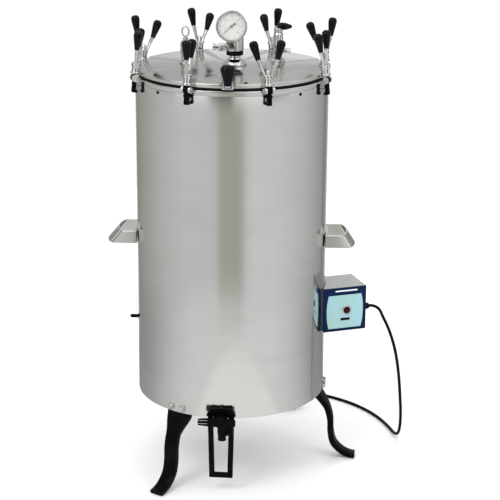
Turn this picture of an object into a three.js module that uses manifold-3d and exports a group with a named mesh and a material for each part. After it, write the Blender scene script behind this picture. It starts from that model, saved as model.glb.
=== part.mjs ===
// Vertical laboratory autoclave on three legs, with a lift-off lid held by eight hook bolts and wing nuts.
// Millimetres, +Z up. While it is built the vessel's axis is x = y = 0, the floor is z = 0 and the front
// faces -Y.
import * as THREE from 'three';
import { mergeVertices } from 'three/addons/utils/BufferGeometryUtils.js';
import Module from 'manifold-3d';

const wasm = await Module();
wasm.setup();

// Driving dimensions.
const GAP = 0.3;
const SIDES = 48;

const BODY_BOTTOM = 162;
const SHELL_R = 200;
const SHELL_WALL = 1.5;
const SHELL_TOP = 838.7;
const CHAMBER_R = 175;
const CHAMBER_WALL = 2;
const CHAMBER_FLOOR = 299;
const RING_TOP = 849;
const RING_DEPTH = 10;
const COVER_Z = 206;

const GASKET_TOP = 854.4;
const LID_R = 199;
const LID_BOTTOM = 854.7;
const LID_TOP = 863;

const CLAMPS = 8;
const CLAMP_START = 22.5;
const CLAMP_STEP = 45;
const NUT_HEADINGS = [0, 72, 28, 56, -38, -24, 90, 82];
const PIVOT_R = 209;
const PIVOT_Z = 850.5;
const LUG_EYE_R = 8;
const LUG_WIDTH = 21;
const LUG_SLOT = 10.4;
const HOOK_LEAN = 7;
const CATCH_PIN_R = 3.3;
const CATCH_PIN_END = 204;
const TOE_TOP = -24.5;
const STRAP_END = -30;
const STUD_R = 4.5;
const HUB_BASE = 8.5;
const HUB_R = 10;
const HUB_HEIGHT = 22;

const LEG_ANGLES = { leg_front_left: -32.3, leg_right: 86.5, leg_rear: 209 };
const LEG_THICKNESS = 12.6;
const LEG_WIDTH = 30;
const LEG_TOP_WIDTH = 56;

const HANDLE_LOW = { right: 487, left: 491 };
const HANDLE_HEIGHT = 26;
const HANDLE_OUT = 261;
const HANDLE_SLOPE = 24;
const HANDLE_ARM = 45.1;
const HANDLE_SEAT_R = SHELL_R + 2.4;
const STRAP = 3;
const OUTLET_ANGLE = -90;
const OUTLET_Z = 313;

const BOSS_X = 5;
const BOSS_Y = 8;
const GAUGE_Z = 948.4;
const GAUGE_R = 32;
const GAUGE_FRONT = -38;
const GAUGE_DEPTH = 27;

const SAFETY_X = -97;
const SAFETY_Y = 16;
const RELEASE_X = 94;
const RELEASE_Y = 24;
const RELEASE_SPINDLE_Z = 935;

const KNOB_R = 201;
const KNOB_SEAT = 857.5;

const BOX_HEADING = 20.5;
const BOX_FRONT_X = 243.1;
const BOX_FRONT_Y = -39.8;
const BOX_WIDTH = 96;
const BOX_DEPTH = 85;
const BOX_BOTTOM = 301.5;
const BOX_HEIGHT = 96.5;
const BOX_WALL = 2;
const LAMP_X = 4;
const LAMP_Z = 46;
const SWITCH_X = 1;
const SWITCH_Z = 26;
const SWITCH_TILT = 8;
const GLAND_BACK = 20;
const GLAND_Z = 43.5;
const GLAND_LENGTH = 14;

const DRAIN_ANGLE = -3.4;
const DRAIN_Z = 164;
const INLET_Z = 178;
const PLATE_HALF = 8.5;
const GUARD_TOP_HALF = 27.5;
const GUARD_LOW_HALF = 24.5;
const GUARD_BAR = 11;
const GUARD_BOTTOM = 31;
const LEVER_OUT = 233;

const HEATER_R = 112;
const HEATER_PLUG_X = 105;
const HEATER_PLUG_R = 20;
const BASKET_R = 157;
const BASKET_BASE = 372;
const BASKET_TOP = 786;
const STAND_Z = 368;

const CABLE_R = 3.25;
const CABLE_LIE = CABLE_R + 0.15;
const COIL_X = 62;
const COIL_Y = 305;
const COIL_MID_R = 38;
const COIL_HALF_WIDTH = 10;
const COIL_LANE_R = 44.6;
const COIL_HEIGHT = 13.4;
const CABLE_ROUTE = [
  [294.6, 0.9, 345], [303.4, 4.2, 343.6], [311.6, 7.2, 339.7], [319.2, 10.1, 332.2], [327, 13, 315.5],
  [337.5, 17, 293], [348.5, 21, 263], [358.5, 25.5, 225], [366.5, 31, 175], [371.5, 38, 124], [375, 47, 76],
  [375, 60, 38],
  [372, 78, 15], [366, 102, 5.6], [357, 134, CABLE_LIE + 0.4], [345, 168, CABLE_LIE],
  [326, 208, CABLE_LIE], [298, 249, CABLE_LIE], [260, 288, CABLE_LIE], [214, 320, CABLE_LIE],
  [166, 341, CABLE_LIE], [128, 348.4, CABLE_LIE], [COIL_X + 26, COIL_Y + COIL_LANE_R, CABLE_LIE],
];

const rad = THREE.MathUtils.degToRad;

// ---- Geometry helpers ----

// Merges shared corners, drops triangles that have collapsed and turns the faces outwards.
function closed(geometry) {
  const plain = geometry.index ? geometry.toNonIndexed() : geometry.clone();
  for (const name of Object.keys(plain.attributes)) {
    if (name !== 'position') plain.deleteAttribute(name);
  }
  const merged = mergeVertices(plain, 1e-3);
  const at = merged.attributes.position;
  const corner = (i) => new THREE.Vector3().fromBufferAttribute(at, i);
  const faces = [];
  let volume = 0;
  for (let i = 0; i < merged.index.count; i += 3) {
    const [a, b, c] = [0, 1, 2].map((k) => merged.index.getX(i + k));
    if (a === b || b === c || c === a) continue;
    faces.push([a, b, c]);
    volume += corner(a).dot(corner(b).cross(corner(c)));
  }
  merged.setIndex(faces.flatMap(([a, b, c]) => (volume < 0 ? [a, c, b] : [a, b, c])));
  return merged;
}

function solid(geometry) {
  const g = closed(geometry);
  return new wasm.Manifold(new wasm.Mesh({
    numProp: 3,
    vertProperties: new Float32Array(g.attributes.position.array),
    triVerts: new Uint32Array(g.index.array),
  }));
}

function geometryOf(manifold) {
  const mesh = manifold.getMesh();
  const g = new THREE.BufferGeometry();
  g.setAttribute('position', new THREE.BufferAttribute(new Float32Array(mesh.vertProperties), 3));
  g.setIndex(new THREE.BufferAttribute(new Uint32Array(mesh.triVerts), 1));
  return g;
}

function join(...pieces) {
  return geometryOf(pieces.map(solid).reduce((whole, piece) => whole.add(piece)));
}

function cut(base, ...tools) {
  return geometryOf(tools.map(solid).reduce((whole, tool) => whole.subtract(tool), solid(base)));
}

function common(a, b) {
  return geometryOf(solid(a).intersect(solid(b)));
}

// A turned solid about +Z from [radius, height] points, which start and end on the axis or go round a ring.
function turned(profile, sides = SIDES) {
  const points = profile.map(([r, z]) => new THREE.Vector2(r, z));
  if (profile[0][0] > 0) points.push(points[0].clone());
  return closed(new THREE.LatheGeometry(points, sides).rotateX(Math.PI / 2));
}

function rod(radius, low, high, sides = 16, topRadius = radius) {
  return new THREE.CylinderGeometry(topRadius, radius, high - low, sides)
    .rotateX(Math.PI / 2).translate(0, 0, (low + high) / 2);
}

function block(x0, x1, y0, y1, z0, z1) {
  return new THREE.BoxGeometry(x1 - x0, y1 - y0, z1 - z0)
    .translate((x0 + x1) / 2, (y0 + y1) / 2, (z0 + z1) / 2);
}

// A cylinder along local X, from x0 to x1.
function bar(radius, x0, x1, sides = 12) {
  return new THREE.CylinderGeometry(radius, radius, x1 - x0, sides)
    .rotateZ(Math.PI / 2).translate((x0 + x1) / 2, 0, 0);
}

// Turns a shape that was built with +X outwards to its angle round the vessel, counted from the front.
function around(geometry, angle) {
  return geometry.clone().rotateZ(rad(angle - 90));
}

function direction(angle) {
  return [Math.sin(rad(angle)), -Math.cos(rad(angle))];
}

function extruded(points, depth, curveSegments = 6) {
  const shape = points instanceof THREE.Shape ? points
    : new THREE.Shape(points.map((p) => new THREE.Vector2(...p)));
  return new THREE.ExtrudeGeometry(shape, { depth, bevelEnabled: false, curveSegments });
}

function curveThrough(points) {
  return new THREE.CatmullRomCurve3(points, false, 'centripetal');
}

function swept(route, radius, steps, sides = 8) {
  const section = new THREE.Shape();
  for (let i = 0; i < sides; i += 1) {
    const a = (i / sides) * Math.PI * 2;
    section[i ? 'lineTo' : 'moveTo'](radius * Math.cos(a), radius * Math.sin(a));
  }
  const path = curveThrough(route.map((p) => new THREE.Vector3(...p)));
  return closed(new THREE.ExtrudeGeometry(section, { steps, extrudePath: path, bevelEnabled: false }));
}

// The outline of a strip of the given half thickness along a line of points.
function strip(points, half) {
  const side = (sign) => points.map(([x, y], i) => {
    const [ax, ay] = points[Math.max(i - 1, 0)];
    const [bx, by] = points[Math.min(i + 1, points.length - 1)];
    const length = Math.hypot(bx - ax, by - ay);
    const h = typeof half === 'function' ? half(i) : half;
    return [x - (sign * h * (by - ay)) / length, y + (sign * h * (bx - ax)) / length];
  });
  return [...side(1), ...side(-1).reverse()];
}

function smooth(points, count) {
  const curve = curveThrough(points.map(([x, y]) => new THREE.Vector3(x, y, 0)));
  return curve.getSpacedPoints(count).map((p) => [p.x, p.y]);
}

// ---- Materials and scene graph ----

const root = new THREE.Group();
const autoclave = new THREE.Group();
root.add(autoclave);

const STEEL = { color: 0xc9cbc8, metalness: 1, roughness: 0.16 };
const CHROME = { color: 0xd8d8d6, metalness: 1, roughness: 0.08 };
const BLACK_PAINT = { color: 0x111112, metalness: 0, roughness: 0.4 };
const PHENOLIC = { color: 0x0b0b0d, metalness: 0, roughness: 0.18 };
const RUBBER = { color: 0x121212, metalness: 0, roughness: 0.75 };
const DIAL_WHITE = { color: 0xe9e9e3, metalness: 0, roughness: 0.5 };
const BOX_BLUE = { color: 0x35507a, metalness: 0.1, roughness: 0.45 };
const PANEL_CYAN = { color: 0xcfe6ec, metalness: 0, roughness: 0.4 };
const LAMP_RED = { color: 0x7a1512, metalness: 0, roughness: 0.15 };
const GLASS = { color: 0xf4f8f8, metalness: 0, roughness: 0.03, transparent: true, opacity: 0.3 };

function add(name, geometry, finish, parent = autoclave) {
  const mesh = new THREE.Mesh(closed(geometry), new THREE.MeshStandardMaterial(finish));
  mesh.name = name;
  parent.add(mesh);
  return mesh;
}

// ---- Vessel ----

function outerShell() {
  const inner = SHELL_R - SHELL_WALL;
  const wall = turned([
    [inner - 1.5, BODY_BOTTOM], [SHELL_R - 1, BODY_BOTTOM], [SHELL_R, BODY_BOTTOM + 1.5],
    [SHELL_R, SHELL_TOP], [inner, SHELL_TOP], [inner, BODY_BOTTOM + 2.5], [inner - 1.5, BODY_BOTTOM + 2],
  ]);
  const through = (radius, z) => bar(radius, inner - 8, SHELL_R + 8, 8).translate(0, 0, z);
  const pinHoles = clampAngles().map((angle) => around(through(CATCH_PIN_R + 0.6, catchPinZ()), angle));
  const drainHole = around(through(9, INLET_Z), DRAIN_ANGLE);
  return cut(wall, ...pinHoles, drainHole, around(through(5, OUTLET_Z), OUTLET_ANGLE));
}

function clampAngles() {
  return Array.from({ length: CLAMPS }, (_, i) => CLAMP_START + i * CLAMP_STEP);
}

function catchPinZ() {
  return PIVOT_Z + TOE_TOP + 0.8 + CATCH_PIN_R;
}

function topRing() {
  const [low, flange] = [catchPinZ() - CATCH_PIN_R, RING_TOP - RING_DEPTH];
  const [bore, skirt] = [CHAMBER_R + CHAMBER_WALL + GAP, SHELL_R - SHELL_WALL - GAP];
  const ring = turned([
    [bore, RING_TOP], [bore, flange], [188, flange], [188, low], [skirt, low], [skirt, flange],
    [SHELL_R, flange], [SHELL_R, RING_TOP],
  ]);
  const pin = bar(CATCH_PIN_R, 191, CATCH_PIN_END, 8).translate(0, 0, catchPinZ());
  return join(ring, ...clampAngles().map((angle) => around(pin, angle)));
}

function innerChamber() {
  const [r, z, out, top] = [CHAMBER_R, CHAMBER_FLOOR, CHAMBER_R + CHAMBER_WALL, RING_TOP - GAP];
  const vessel = turned([
    [0, z - CHAMBER_WALL], [out - 10, z - CHAMBER_WALL], [out - 3, z + 1], [out, z + 9], [out, top], [r, top],
    [r, z + 10], [r - 3, z + 3], [r - 9, z], [0, z],
  ]);
  const drainHole = rod(6, z - 9, z + 9, 10);
  const heaterHole = rod(HEATER_PLUG_R + 0.5, z - 9, z + 9, 16).translate(HEATER_PLUG_X, 0, 0);
  return cut(vessel, drainHole, heaterHole);
}

function bottomCover() {
  const disc = turned([[0, COVER_Z], [197, COVER_Z], [197, COVER_Z + 2], [0, COVER_Z + 2]]);
  const [x, y] = direction(DRAIN_ANGLE);
  return cut(disc, rod(11, COVER_Z - 5, COVER_Z + 9, 12).translate(150 * x, 150 * y, 0));
}

add('outer_shell', outerShell(), STEEL);
add('top_ring', topRing(), STEEL);
add('inner_chamber', innerChamber(), STEEL);
add('bottom_cover', bottomCover(), STEEL);

// ---- Inside the chamber ----

// A loop of sheathed element with its two ends in a screwed plug in the chamber floor.
function heater() {
  const loop = [];
  const z = CHAMBER_FLOOR + 26;
  for (let a = 12; a <= 348; a += 16) {
    loop.push([HEATER_R * Math.cos(rad(a)), HEATER_R * Math.sin(rad(a)), z]);
  }
  const lead = (side) => [
    [108, 9 * side, CHAMBER_FLOOR + 5], [108, 9 * side, z - 12], [110, 14 * side, z - 2],
  ];
  const element = swept([...lead(1), ...loop, ...lead(-1).reverse()], 5, 44, 6);
  const plug = join(
    rod(HEATER_PLUG_R, CHAMBER_FLOOR - 8, CHAMBER_FLOOR + 4, 16),
    rod(HEATER_PLUG_R + 7, CHAMBER_FLOOR + GAP, CHAMBER_FLOOR + 7, 6),
  );
  return join(element, plug.translate(HEATER_PLUG_X, 0, 0));
}

function basketStand() {
  const plate = turned([[18, STAND_Z], [150, STAND_Z], [150, STAND_Z + 3], [18, STAND_Z + 3]], 30);
  const feet = [30, 150, 270].map((a) => rod(5, CHAMBER_FLOOR + GAP, STAND_Z + 1, 8)
    .translate(138 * Math.cos(rad(a)), 138 * Math.sin(rad(a)), 0));
  return join(plate, ...feet);
}

function basket() {
  return turned([
    [0, BASKET_BASE], [BASKET_R - 4, BASKET_BASE], [BASKET_R, BASKET_BASE + 4], [BASKET_R, BASKET_TOP - 6],
    [BASKET_R + 4, BASKET_TOP - 6], [BASKET_R + 4, BASKET_TOP], [BASKET_R - 2, BASKET_TOP],
    [BASKET_R - 2, BASKET_BASE + 5], [BASKET_R - 5, BASKET_BASE + 2], [0, BASKET_BASE + 2],
  ], 36);
}

// A fixed arched bail across the basket, riveted inside its rim.
function basketBail() {
  const side = BASKET_R - 6;
  const half = [[side, -34], [side, -4], [side - 10, 22], [side - 44, 42]];
  const route = [...half, [0, 50], ...half.map(([x, z]) => [-x, z]).reverse()];
  return swept(route.map(([x, z]) => [x, 0, BASKET_TOP + z]), 3, 24, 6);
}

add('heater', heater(), STEEL);
add('basket_stand', basketStand(), STEEL);
add('basket', basket(), STEEL);
add('basket_bail', basketBail(), STEEL);

// ---- Lid ----

function lid() {
  const plate = turned([
    [0, LID_BOTTOM], [165, LID_BOTTOM], [165, LID_BOTTOM - 9], [172, LID_BOTTOM - 9], [172, LID_BOTTOM],
    [LID_R, LID_BOTTOM], [LID_R, LID_TOP - 1], [LID_R - 1, LID_TOP], [0, LID_TOP],
  ]);
  const half = LUG_WIDTH / 2;
  const eye = bar(LUG_EYE_R, -half, half, 12).rotateZ(Math.PI / 2).translate(PIVOT_R, 0, PIVOT_Z);
  const tongue = block(188, PIVOT_R, -half, half, LID_BOTTOM, LID_BOTTOM + 2);
  const tab = block(188, KNOB_R + 11, -12, 12, LID_BOTTOM, KNOB_SEAT);
  const spot = rod(15, LID_BOTTOM + 2, LID_TOP + 5, 10).translate(PIVOT_R - 2, 0, 0);
  const knobSpot = rod(16, KNOB_SEAT, LID_TOP + 5, 12).translate(KNOB_R, 0, 0);
  const slot = block(PIVOT_R - 9, PIVOT_R + 12, -LUG_SLOT / 2, LUG_SLOT / 2, PIVOT_Z - 12, PIVOT_Z + 14);
  const pinHole = bar(3.5, -20, 20, 8).rotateZ(Math.PI / 2).translate(PIVOT_R, 0, PIVOT_Z);
  const whole = join(
    plate, ...[0, 180].map((a) => around(tab, a)),
    ...clampAngles().flatMap((a) => [around(eye, a), around(tongue, a)]),
  );
  const cuts = clampAngles().flatMap((a) => [around(spot, a), around(slot, a), around(pinHole, a)]);
  return cut(whole, ...cuts, ...[0, 180].map((a) => around(knobSpot, a)));
}

function lidGasket() {
  const [low, high] = [RING_TOP + GAP, GASKET_TOP];
  return turned([[183, low], [SHELL_R - 0.5, low], [SHELL_R - 0.5, high], [183, high]]);
}

function lidKnob() {
  return turned([
    [0, KNOB_SEAT + GAP], [7.5, KNOB_SEAT + GAP], [8.5, KNOB_SEAT + 8], [11.5, KNOB_SEAT + 22],
    [14.6, KNOB_SEAT + 32], [14.2, KNOB_SEAT + 38], [10, KNOB_SEAT + 43], [0, KNOB_SEAT + 45],
  ], 16);
}

add('lid', lid(), STEEL);
add('lid_gasket', lidGasket(), RUBBER);
for (const [name, angle] of [['lid_knob_front', 0], ['lid_knob_rear', 180]]) {
  const [x, y] = direction(angle);
  add(name, lidKnob(), PHENOLIC).position.set(KNOB_R * x, KNOB_R * y, 0);
}

// ---- Clamps: a hook bolt that rocks in a lug of the lid, and the wing nut on it ----

// Built about the pivot, +X away from the vessel's axis.
function hookBolt() {
  const eye = bar(7.4, -4.8, 4.8, 10).rotateZ(Math.PI / 2);
  const pivotPin = bar(3, -10.3, 10.3, 8).rotateZ(Math.PI / 2);
  return join(
    eye, pivotPin,
    rod(STUD_R, 2, HUB_BASE + HUB_HEIGHT + 9, 8),
    block(-3.8, 3.8, -4.5, 4.5, STRAP_END, 0),
    block(-3.8, 3.8, -6.4, 6.4, -15, -9.2),
    block(-7.6, -3, -4.5, 4.5, STRAP_END, TOE_TOP),
  );
}

function wingNut() {
  const top = HUB_BASE + HUB_HEIGHT;
  const grip = turned([[0, 0], [5.2, 0], [9.6, 33], [8, 39.5], [0, 42]], 8);
  const arm = rod(4, -5, 36, 6, 4.8);
  const wing = (sign) => {
    const foot = [sign * 6, 0, top - 5];
    return [
      arm.clone().rotateY(sign * rad(20)).translate(...foot),
      grip.clone().rotateY(sign * rad(15)).translate(sign * 18, 0, top + 26),
    ];
  };
  const hub = rod(HUB_R, HUB_BASE, top, 12);
  return cut(join(hub, ...wing(1), ...wing(-1)), rod(STUD_R + 0.6, HUB_BASE - 5, top + 30, 8));
}

clampAngles().forEach((angle, i) => {
  const [x, y] = direction(angle);
  const clamp = new THREE.Group();
  clamp.position.set(PIVOT_R * x, PIVOT_R * y, PIVOT_Z);
  clamp.rotation.set(0, -rad(HOOK_LEAN), rad(angle - 90), 'ZYX');
  autoclave.add(clamp);
  add(`hook_bolt_${i + 1}`, hookBolt(), BLACK_PAINT, clamp);
  add(`wing_nut_${i + 1}`, wingNut(), CHROME, clamp).rotation.z = rad(NUT_HEADINGS[i] - (angle - 90));
});

// ---- Pressure gauge on its boss ----

function gaugeBoss() {
  const z = LID_TOP + GAP;
  const body = turned([
    [0, z], [25, z], [25, z + 3], [22, z + 7], [15, z + 12], [11, z + 15], [11, z + 30], [18, z + 30],
    [18.5, z + 33], [18.5, z + 60], [16, z + 63], [0, z + 63],
  ], 24);
  const branch = bar(6, -46, -5, 10).translate(0, 0, z + 36);
  const nut = bar(9, -33, -19.5, 6).translate(0, 0, z + 36);
  return join(body, branch, nut).translate(BOSS_X, BOSS_Y, 0);
}

function bossWasher() {
  const z = LID_TOP + GAP;
  return turned([[11.3, z + 20], [17.5, z + 20], [17.5, z + 29], [11.3, z + 29]], 24)
    .translate(BOSS_X, BOSS_Y, 0);
}

function gaugeStem() {
  const y = GAUGE_FRONT + 13;
  const low = LID_TOP + 34;
  const hex = rod(9.6, low + 4, GAUGE_Z - GAUGE_R - GAP, 6);
  const elbow = bar(6, 0, BOSS_Y - 18.5 - y - GAP, 10).rotateZ(Math.PI / 2).translate(0, 0, low + 12);
  return join(hex, elbow, rod(7, low, low + 6, 12)).translate(0, y, 0);
}

// Turned about the gauge's own axis, then laid with its face to the front.
function facing(profile, sides = 32) {
  return turned(profile, sides).rotateX(Math.PI / 2).translate(0, GAUGE_FRONT, GAUGE_Z);
}

function gaugeCase() {
  return facing([
    [0, -GAUGE_DEPTH], [28, -GAUGE_DEPTH], [30, -GAUGE_DEPTH + 2], [30, -5], [GAUGE_R, -4], [GAUGE_R, -1],
    [GAUGE_R - 1, 0], [29, 0], [28.6, -2], [28.6, -GAUGE_DEPTH + 3], [0, -GAUGE_DEPTH + 3],
  ]);
}

function gaugePointer() {
  const tip = 21;
  const blade = extruded([[-1.6, -7], [1.6, -7], [1.1, 0], [0.5, tip], [-0.5, tip], [-1.1, 0]], 1)
    .translate(0, 0, -6.6);
  const hub = rod(2.8, -7.6, -4.6, 12);
  return join(blade, hub, rod(2.4, -6.6, -5.4, 12).translate(0, -8, 0));
}

add('gauge_boss', gaugeBoss(), CHROME);
add('boss_washer', bossWasher(), RUBBER);
add('gauge_stem', gaugeStem(), STEEL);
add('gauge_case', gaugeCase(), CHROME);
add('gauge_dial', facing([[0, -10], [28.2, -10], [28.2, -8.4], [0, -8.4]]), DIAL_WHITE);
add('gauge_glass', facing([[0, -3.8], [28.2, -3.8], [28.2, -2.2], [0, -2.2]]), GLASS);
const pointer = add('gauge_pointer', gaugePointer(), BLACK_PAINT);
pointer.rotation.set(Math.PI / 2, 0, rad(130), 'XYZ');
pointer.position.set(0, GAUGE_FRONT, GAUGE_Z);

// ---- Valves on the lid ----

function safetyBody() {
  const z = LID_TOP + GAP;
  const body = turned([
    [4, z], [13, z], [13, z + 9], [9, z + 11], [9, z + 20], [11, z + 22], [11, z + 40], [8, z + 47],
    [4, z + 48],
  ], 20);
  return body.translate(SAFETY_X, SAFETY_Y, 0);
}

// The valve's spindle, with the ring that lifts it for a test.
function safetyRing() {
  const z = LID_TOP + GAP;
  const loop = new THREE.EllipseCurve(0, 0, 7, 10, 0, 2 * Math.PI);
  const points = loop.getPoints(20).map((p) => [p.x, 0, p.y + z + 66]);
  const first = swept(points.slice(0, 11), 1.8, 8, 6);
  const second = swept(points.slice(10), 1.8, 8, 6);
  const spindle = join(rod(3.4, z + 4, z + 58, 10), rod(6, z + 49, z + 53, 10));
  return join(spindle, first, second).translate(SAFETY_X, SAFETY_Y, 0);
}

function releaseBody() {
  const z = LID_TOP + GAP;
  const hex = rod(14, z, z + 11, 6);
  const body = turned([
    [3.4, z], [8, z], [8, z + 34], [10, z + 38], [10, z + 62], [8, z + 65], [3.4, z + 65],
  ], 18);
  const outlet = bar(5, 4, 26, 10).translate(0, 0, z + 27);
  const whole = join(hex, body, outlet);
  return cut(whole, rod(3.4, z - 5, z + 80, 10)).translate(RELEASE_X, RELEASE_Y, 0);
}

function releaseLever() {
  const spindle = rod(3, RELEASE_SPINDLE_Z - 30, RELEASE_SPINDLE_Z + 3, 10);
  const cap = rod(9, RELEASE_SPINDLE_Z - 6, RELEASE_SPINDLE_Z + 3, 14);
  const handle = turned([[0, 0], [6, 0], [8, 8], [7, 18], [3, 29], [0, 31]], 12)
    .rotateY(Math.PI / 2).translate(-2, 0, RELEASE_SPINDLE_Z + 6);
  return join(spindle, cap, handle);
}

add('safety_valve_body', safetyBody(), CHROME);
add('safety_valve_ring', safetyRing(), CHROME);
add('release_valve_body', releaseBody(), CHROME);
const lever = add('release_valve_lever', releaseLever(), PHENOLIC);
lever.position.set(RELEASE_X, RELEASE_Y, 0);
lever.rotation.z = rad(-8);

// ---- Carrying handles, legs and stub ----

// A closed line moved sideways.
function beside(line, distance) {
  const n = line.length;
  return line.map(([x, y], i) => {
    const [ax, ay] = line[(i + n - 1) % n];
    const [bx, by] = line[(i + 1) % n];
    const length = Math.hypot(bx - ax, by - ay);
    return [x + (distance * (by - ay)) / length, y - (distance * (bx - ax)) / length];
  });
}

// A ring of four-cornered sections, joined one to the next.
function looped(sections) {
  const at = [];
  sections.forEach((section, i) => {
    const next = sections[(i + 1) % sections.length];
    for (let k = 0; k < 4; k += 1) {
      const [a, b, c, d] = [section[k], section[(k + 1) % 4], next[(k + 1) % 4], next[k]];
      at.push(...a, ...b, ...c, ...a, ...c, ...d);
    }
  });
  const geometry = new THREE.BufferGeometry();
  geometry.setAttribute('position', new THREE.Float32BufferAttribute(at, 3));
  return closed(geometry);
}

// A strap bent to a closed loop: its back lies on the shell, and its grip slopes outwards and down.
function sideHandle(low) {
  const seat = (angle) => [HANDLE_SEAT_R * Math.cos(rad(angle)), HANDLE_SEAT_R * Math.sin(rad(angle))];
  const plan = (out) => {
    const half = [
      seat(5), seat(10), seat(12), [SHELL_R + 0.6, HANDLE_ARM], [out - 11, HANDLE_ARM],
      [out - 3.2, HANDLE_ARM - 3.1], [out, HANDLE_ARM - 10.6],
    ];
    return [seat(0), ...half, [out, 0], ...half.map(([x, y]) => [x, -y]).reverse()];
  };
  const [bottom, top] = [plan(HANDLE_OUT), plan(HANDLE_OUT - HANDLE_SLOPE)];
  const high = low + HANDLE_HEIGHT;
  const edges = [
    [beside(bottom, STRAP / 2), low], [beside(top, STRAP / 2), high],
    [beside(top, -STRAP / 2), high], [beside(bottom, -STRAP / 2), low],
  ];
  return looped(bottom.map((_, i) => edges.map(([line, z]) => [...line[i], z])));
}

// A bent flat bar: its bend is cut from a plate of its front outline, and its sole is flat.
function leg() {
  const line = smooth([
    [186, 199], [186, 170], [188, 154], [199, 137], [211, 116], [218, 90], [219.5, 60], [226, 34],
    [243.5, 14], [264, 4.5], [274, 2],
  ], 26);
  const depth = (i) => (i > 20 ? LEG_THICKNESS / 2 - (i - 20) * 0.35 : LEG_THICKNESS / 2);
  const bend = extruded(strip(line, depth), LEG_TOP_WIDTH)
    .rotateX(Math.PI / 2).translate(0, LEG_TOP_WIDTH / 2, 0);
  const [top, shaft] = [LEG_TOP_WIDTH / 2, LEG_WIDTH / 2];
  const right = [[shaft, 0], [shaft, 112], [shaft + 3, 128], [shaft + 9, 144], [top, 158], [top, 200]];
  const outline = [...right, ...right.map(([y, z]) => [-y, z]).reverse()];
  const front = extruded(outline, 120).rotateX(Math.PI / 2).rotateZ(Math.PI / 2).translate(170, 0, 0);
  return common(bend, front);
}

function outletStub() {
  return join(bar(4, 179, 218, 10), bar(7, 179, 184, 10)).translate(0, 0, OUTLET_Z);
}

add('side_handle_right', around(sideHandle(HANDLE_LOW.right), 90), STEEL);
add('side_handle_left', around(sideHandle(HANDLE_LOW.left), -90), STEEL);
for (const [name, angle] of Object.entries(LEG_ANGLES)) add(name, around(leg(), angle), BLACK_PAINT);
add('outlet_stub', around(outletStub(), OUTLET_ANGLE), BLACK_PAINT);

// ---- Drain cock and its guard, at the front under the shell ----

function drainPipe() {
  const [x, y] = direction(DRAIN_ANGLE);
  const z = INLET_Z;
  const fall = [
    [0, CHAMBER_FLOOR - CHAMBER_WALL - GAP], [0, 270], [22, 252], [128, 250], [150, 232], [150, z + 18],
    [160, z + 3], [176, z], [188, z],
  ].map(([r, height]) => [r * x, r * y, height]);
  return join(swept(fall, 6.5, 30, 8), rod(16, CHAMBER_FLOOR - 8, CHAMBER_FLOOR - CHAMBER_WALL - GAP, 12));
}

// The mounting plate on the shell, the cock's body below it with its stop block, and its spout.
function drainBody() {
  const h = PLATE_HALF;
  const plate = extruded([[-31, -h], [31, -h], [23, h], [-23, h]], 8);
  const upright = plate.rotateX(Math.PI / 2).rotateZ(Math.PI / 2).translate(SHELL_R + 0.8, 0, INLET_Z);
  const inlet = bar(8, 188 + GAP, SHELL_R + 4, 12).translate(0, 0, INLET_Z);
  const body = bar(11, SHELL_R + 2, LEVER_OUT - 8 - GAP, 14).translate(0, 0, DRAIN_Z);
  const neck = block(SHELL_R + 2, SHELL_R + 18, -14, 14, DRAIN_Z, DRAIN_Z + 9);
  const stop = block(SHELL_R + 8, SHELL_R + 20, 5, 26, DRAIN_Z - 33, DRAIN_Z + 2);
  const spout = rod(9, DRAIN_Z - 44, DRAIN_Z, 12, 10).translate(SHELL_R + 14, 3, 0);
  const bore = rod(6, DRAIN_Z - 50, DRAIN_Z - 10, 10).translate(SHELL_R + 14, 3, 0);
  return around(cut(join(upright, inlet, body, neck, stop, spout), bore), DRAIN_ANGLE);
}

function drainLever() {
  const blade = block(LEVER_OUT - 8, LEVER_OUT - 3, -46, 32, -10, 10);
  const hub = bar(12, LEVER_OUT - 8, LEVER_OUT, 14);
  return around(join(blade, hub).translate(0, 0, DRAIN_Z), DRAIN_ANGLE);
}

// A flat bar frame, open at the top, which hangs from the cock's mounting plate round the spout.
function drainGuard() {
  const top = INLET_Z - PLATE_HALF - GAP;
  const [a, b, w, low] = [GUARD_TOP_HALF, GUARD_LOW_HALF, GUARD_BAR, GUARD_BOTTOM];
  const outline = [
    [-a, top], [-b, low + 2], [2 - b, low], [b - 2, low], [b, low + 2], [a, top],
    [a - w, top], [b - w, low + w], [w - b, low + w], [w - a, top],
  ];
  const frame = extruded(outline, 6).rotateX(Math.PI / 2).rotateZ(Math.PI / 2);
  return around(frame.translate(SHELL_R + 1, 0, 0), DRAIN_ANGLE);
}

add('drain_pipe', drainPipe(), STEEL);
add('drain_valve_body', drainBody(), BLACK_PAINT);
add('drain_valve_lever', drainLever(), BLACK_PAINT);
add('drain_guard', drainGuard(), BLACK_PAINT);

// ---- Control box, built with its front face in the local plane y = 0 ----

const station = new THREE.Group();
station.position.set(BOX_FRONT_X, BOX_FRONT_Y, BOX_BOTTOM);
station.rotation.z = rad(BOX_HEADING);
autoclave.add(station);

// The vessel's outline in the box's own frame, with clearance, for the saddle cut.
function saddle() {
  const axis = new THREE.Vector3(-BOX_FRONT_X, -BOX_FRONT_Y, 0)
    .applyAxisAngle(new THREE.Vector3(0, 0, 1), -rad(BOX_HEADING));
  return rod(SHELL_R + 0.8, -20, BOX_HEIGHT + 20, SIDES).translate(axis.x, axis.y, 0);
}

function controlBox() {
  const half = BOX_WIDTH / 2;
  const outside = block(-half, half, 0, BOX_DEPTH, 0, BOX_HEIGHT);
  const w = BOX_WALL;
  const inside = block(-half + w, half - w, -5, BOX_DEPTH - w, w, BOX_HEIGHT - w);
  const cableHole = bar(6, half - 10, half + 10, 12).translate(0, GLAND_BACK, GLAND_Z);
  return cut(outside, inside, saddle(), cableHole);
}

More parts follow.
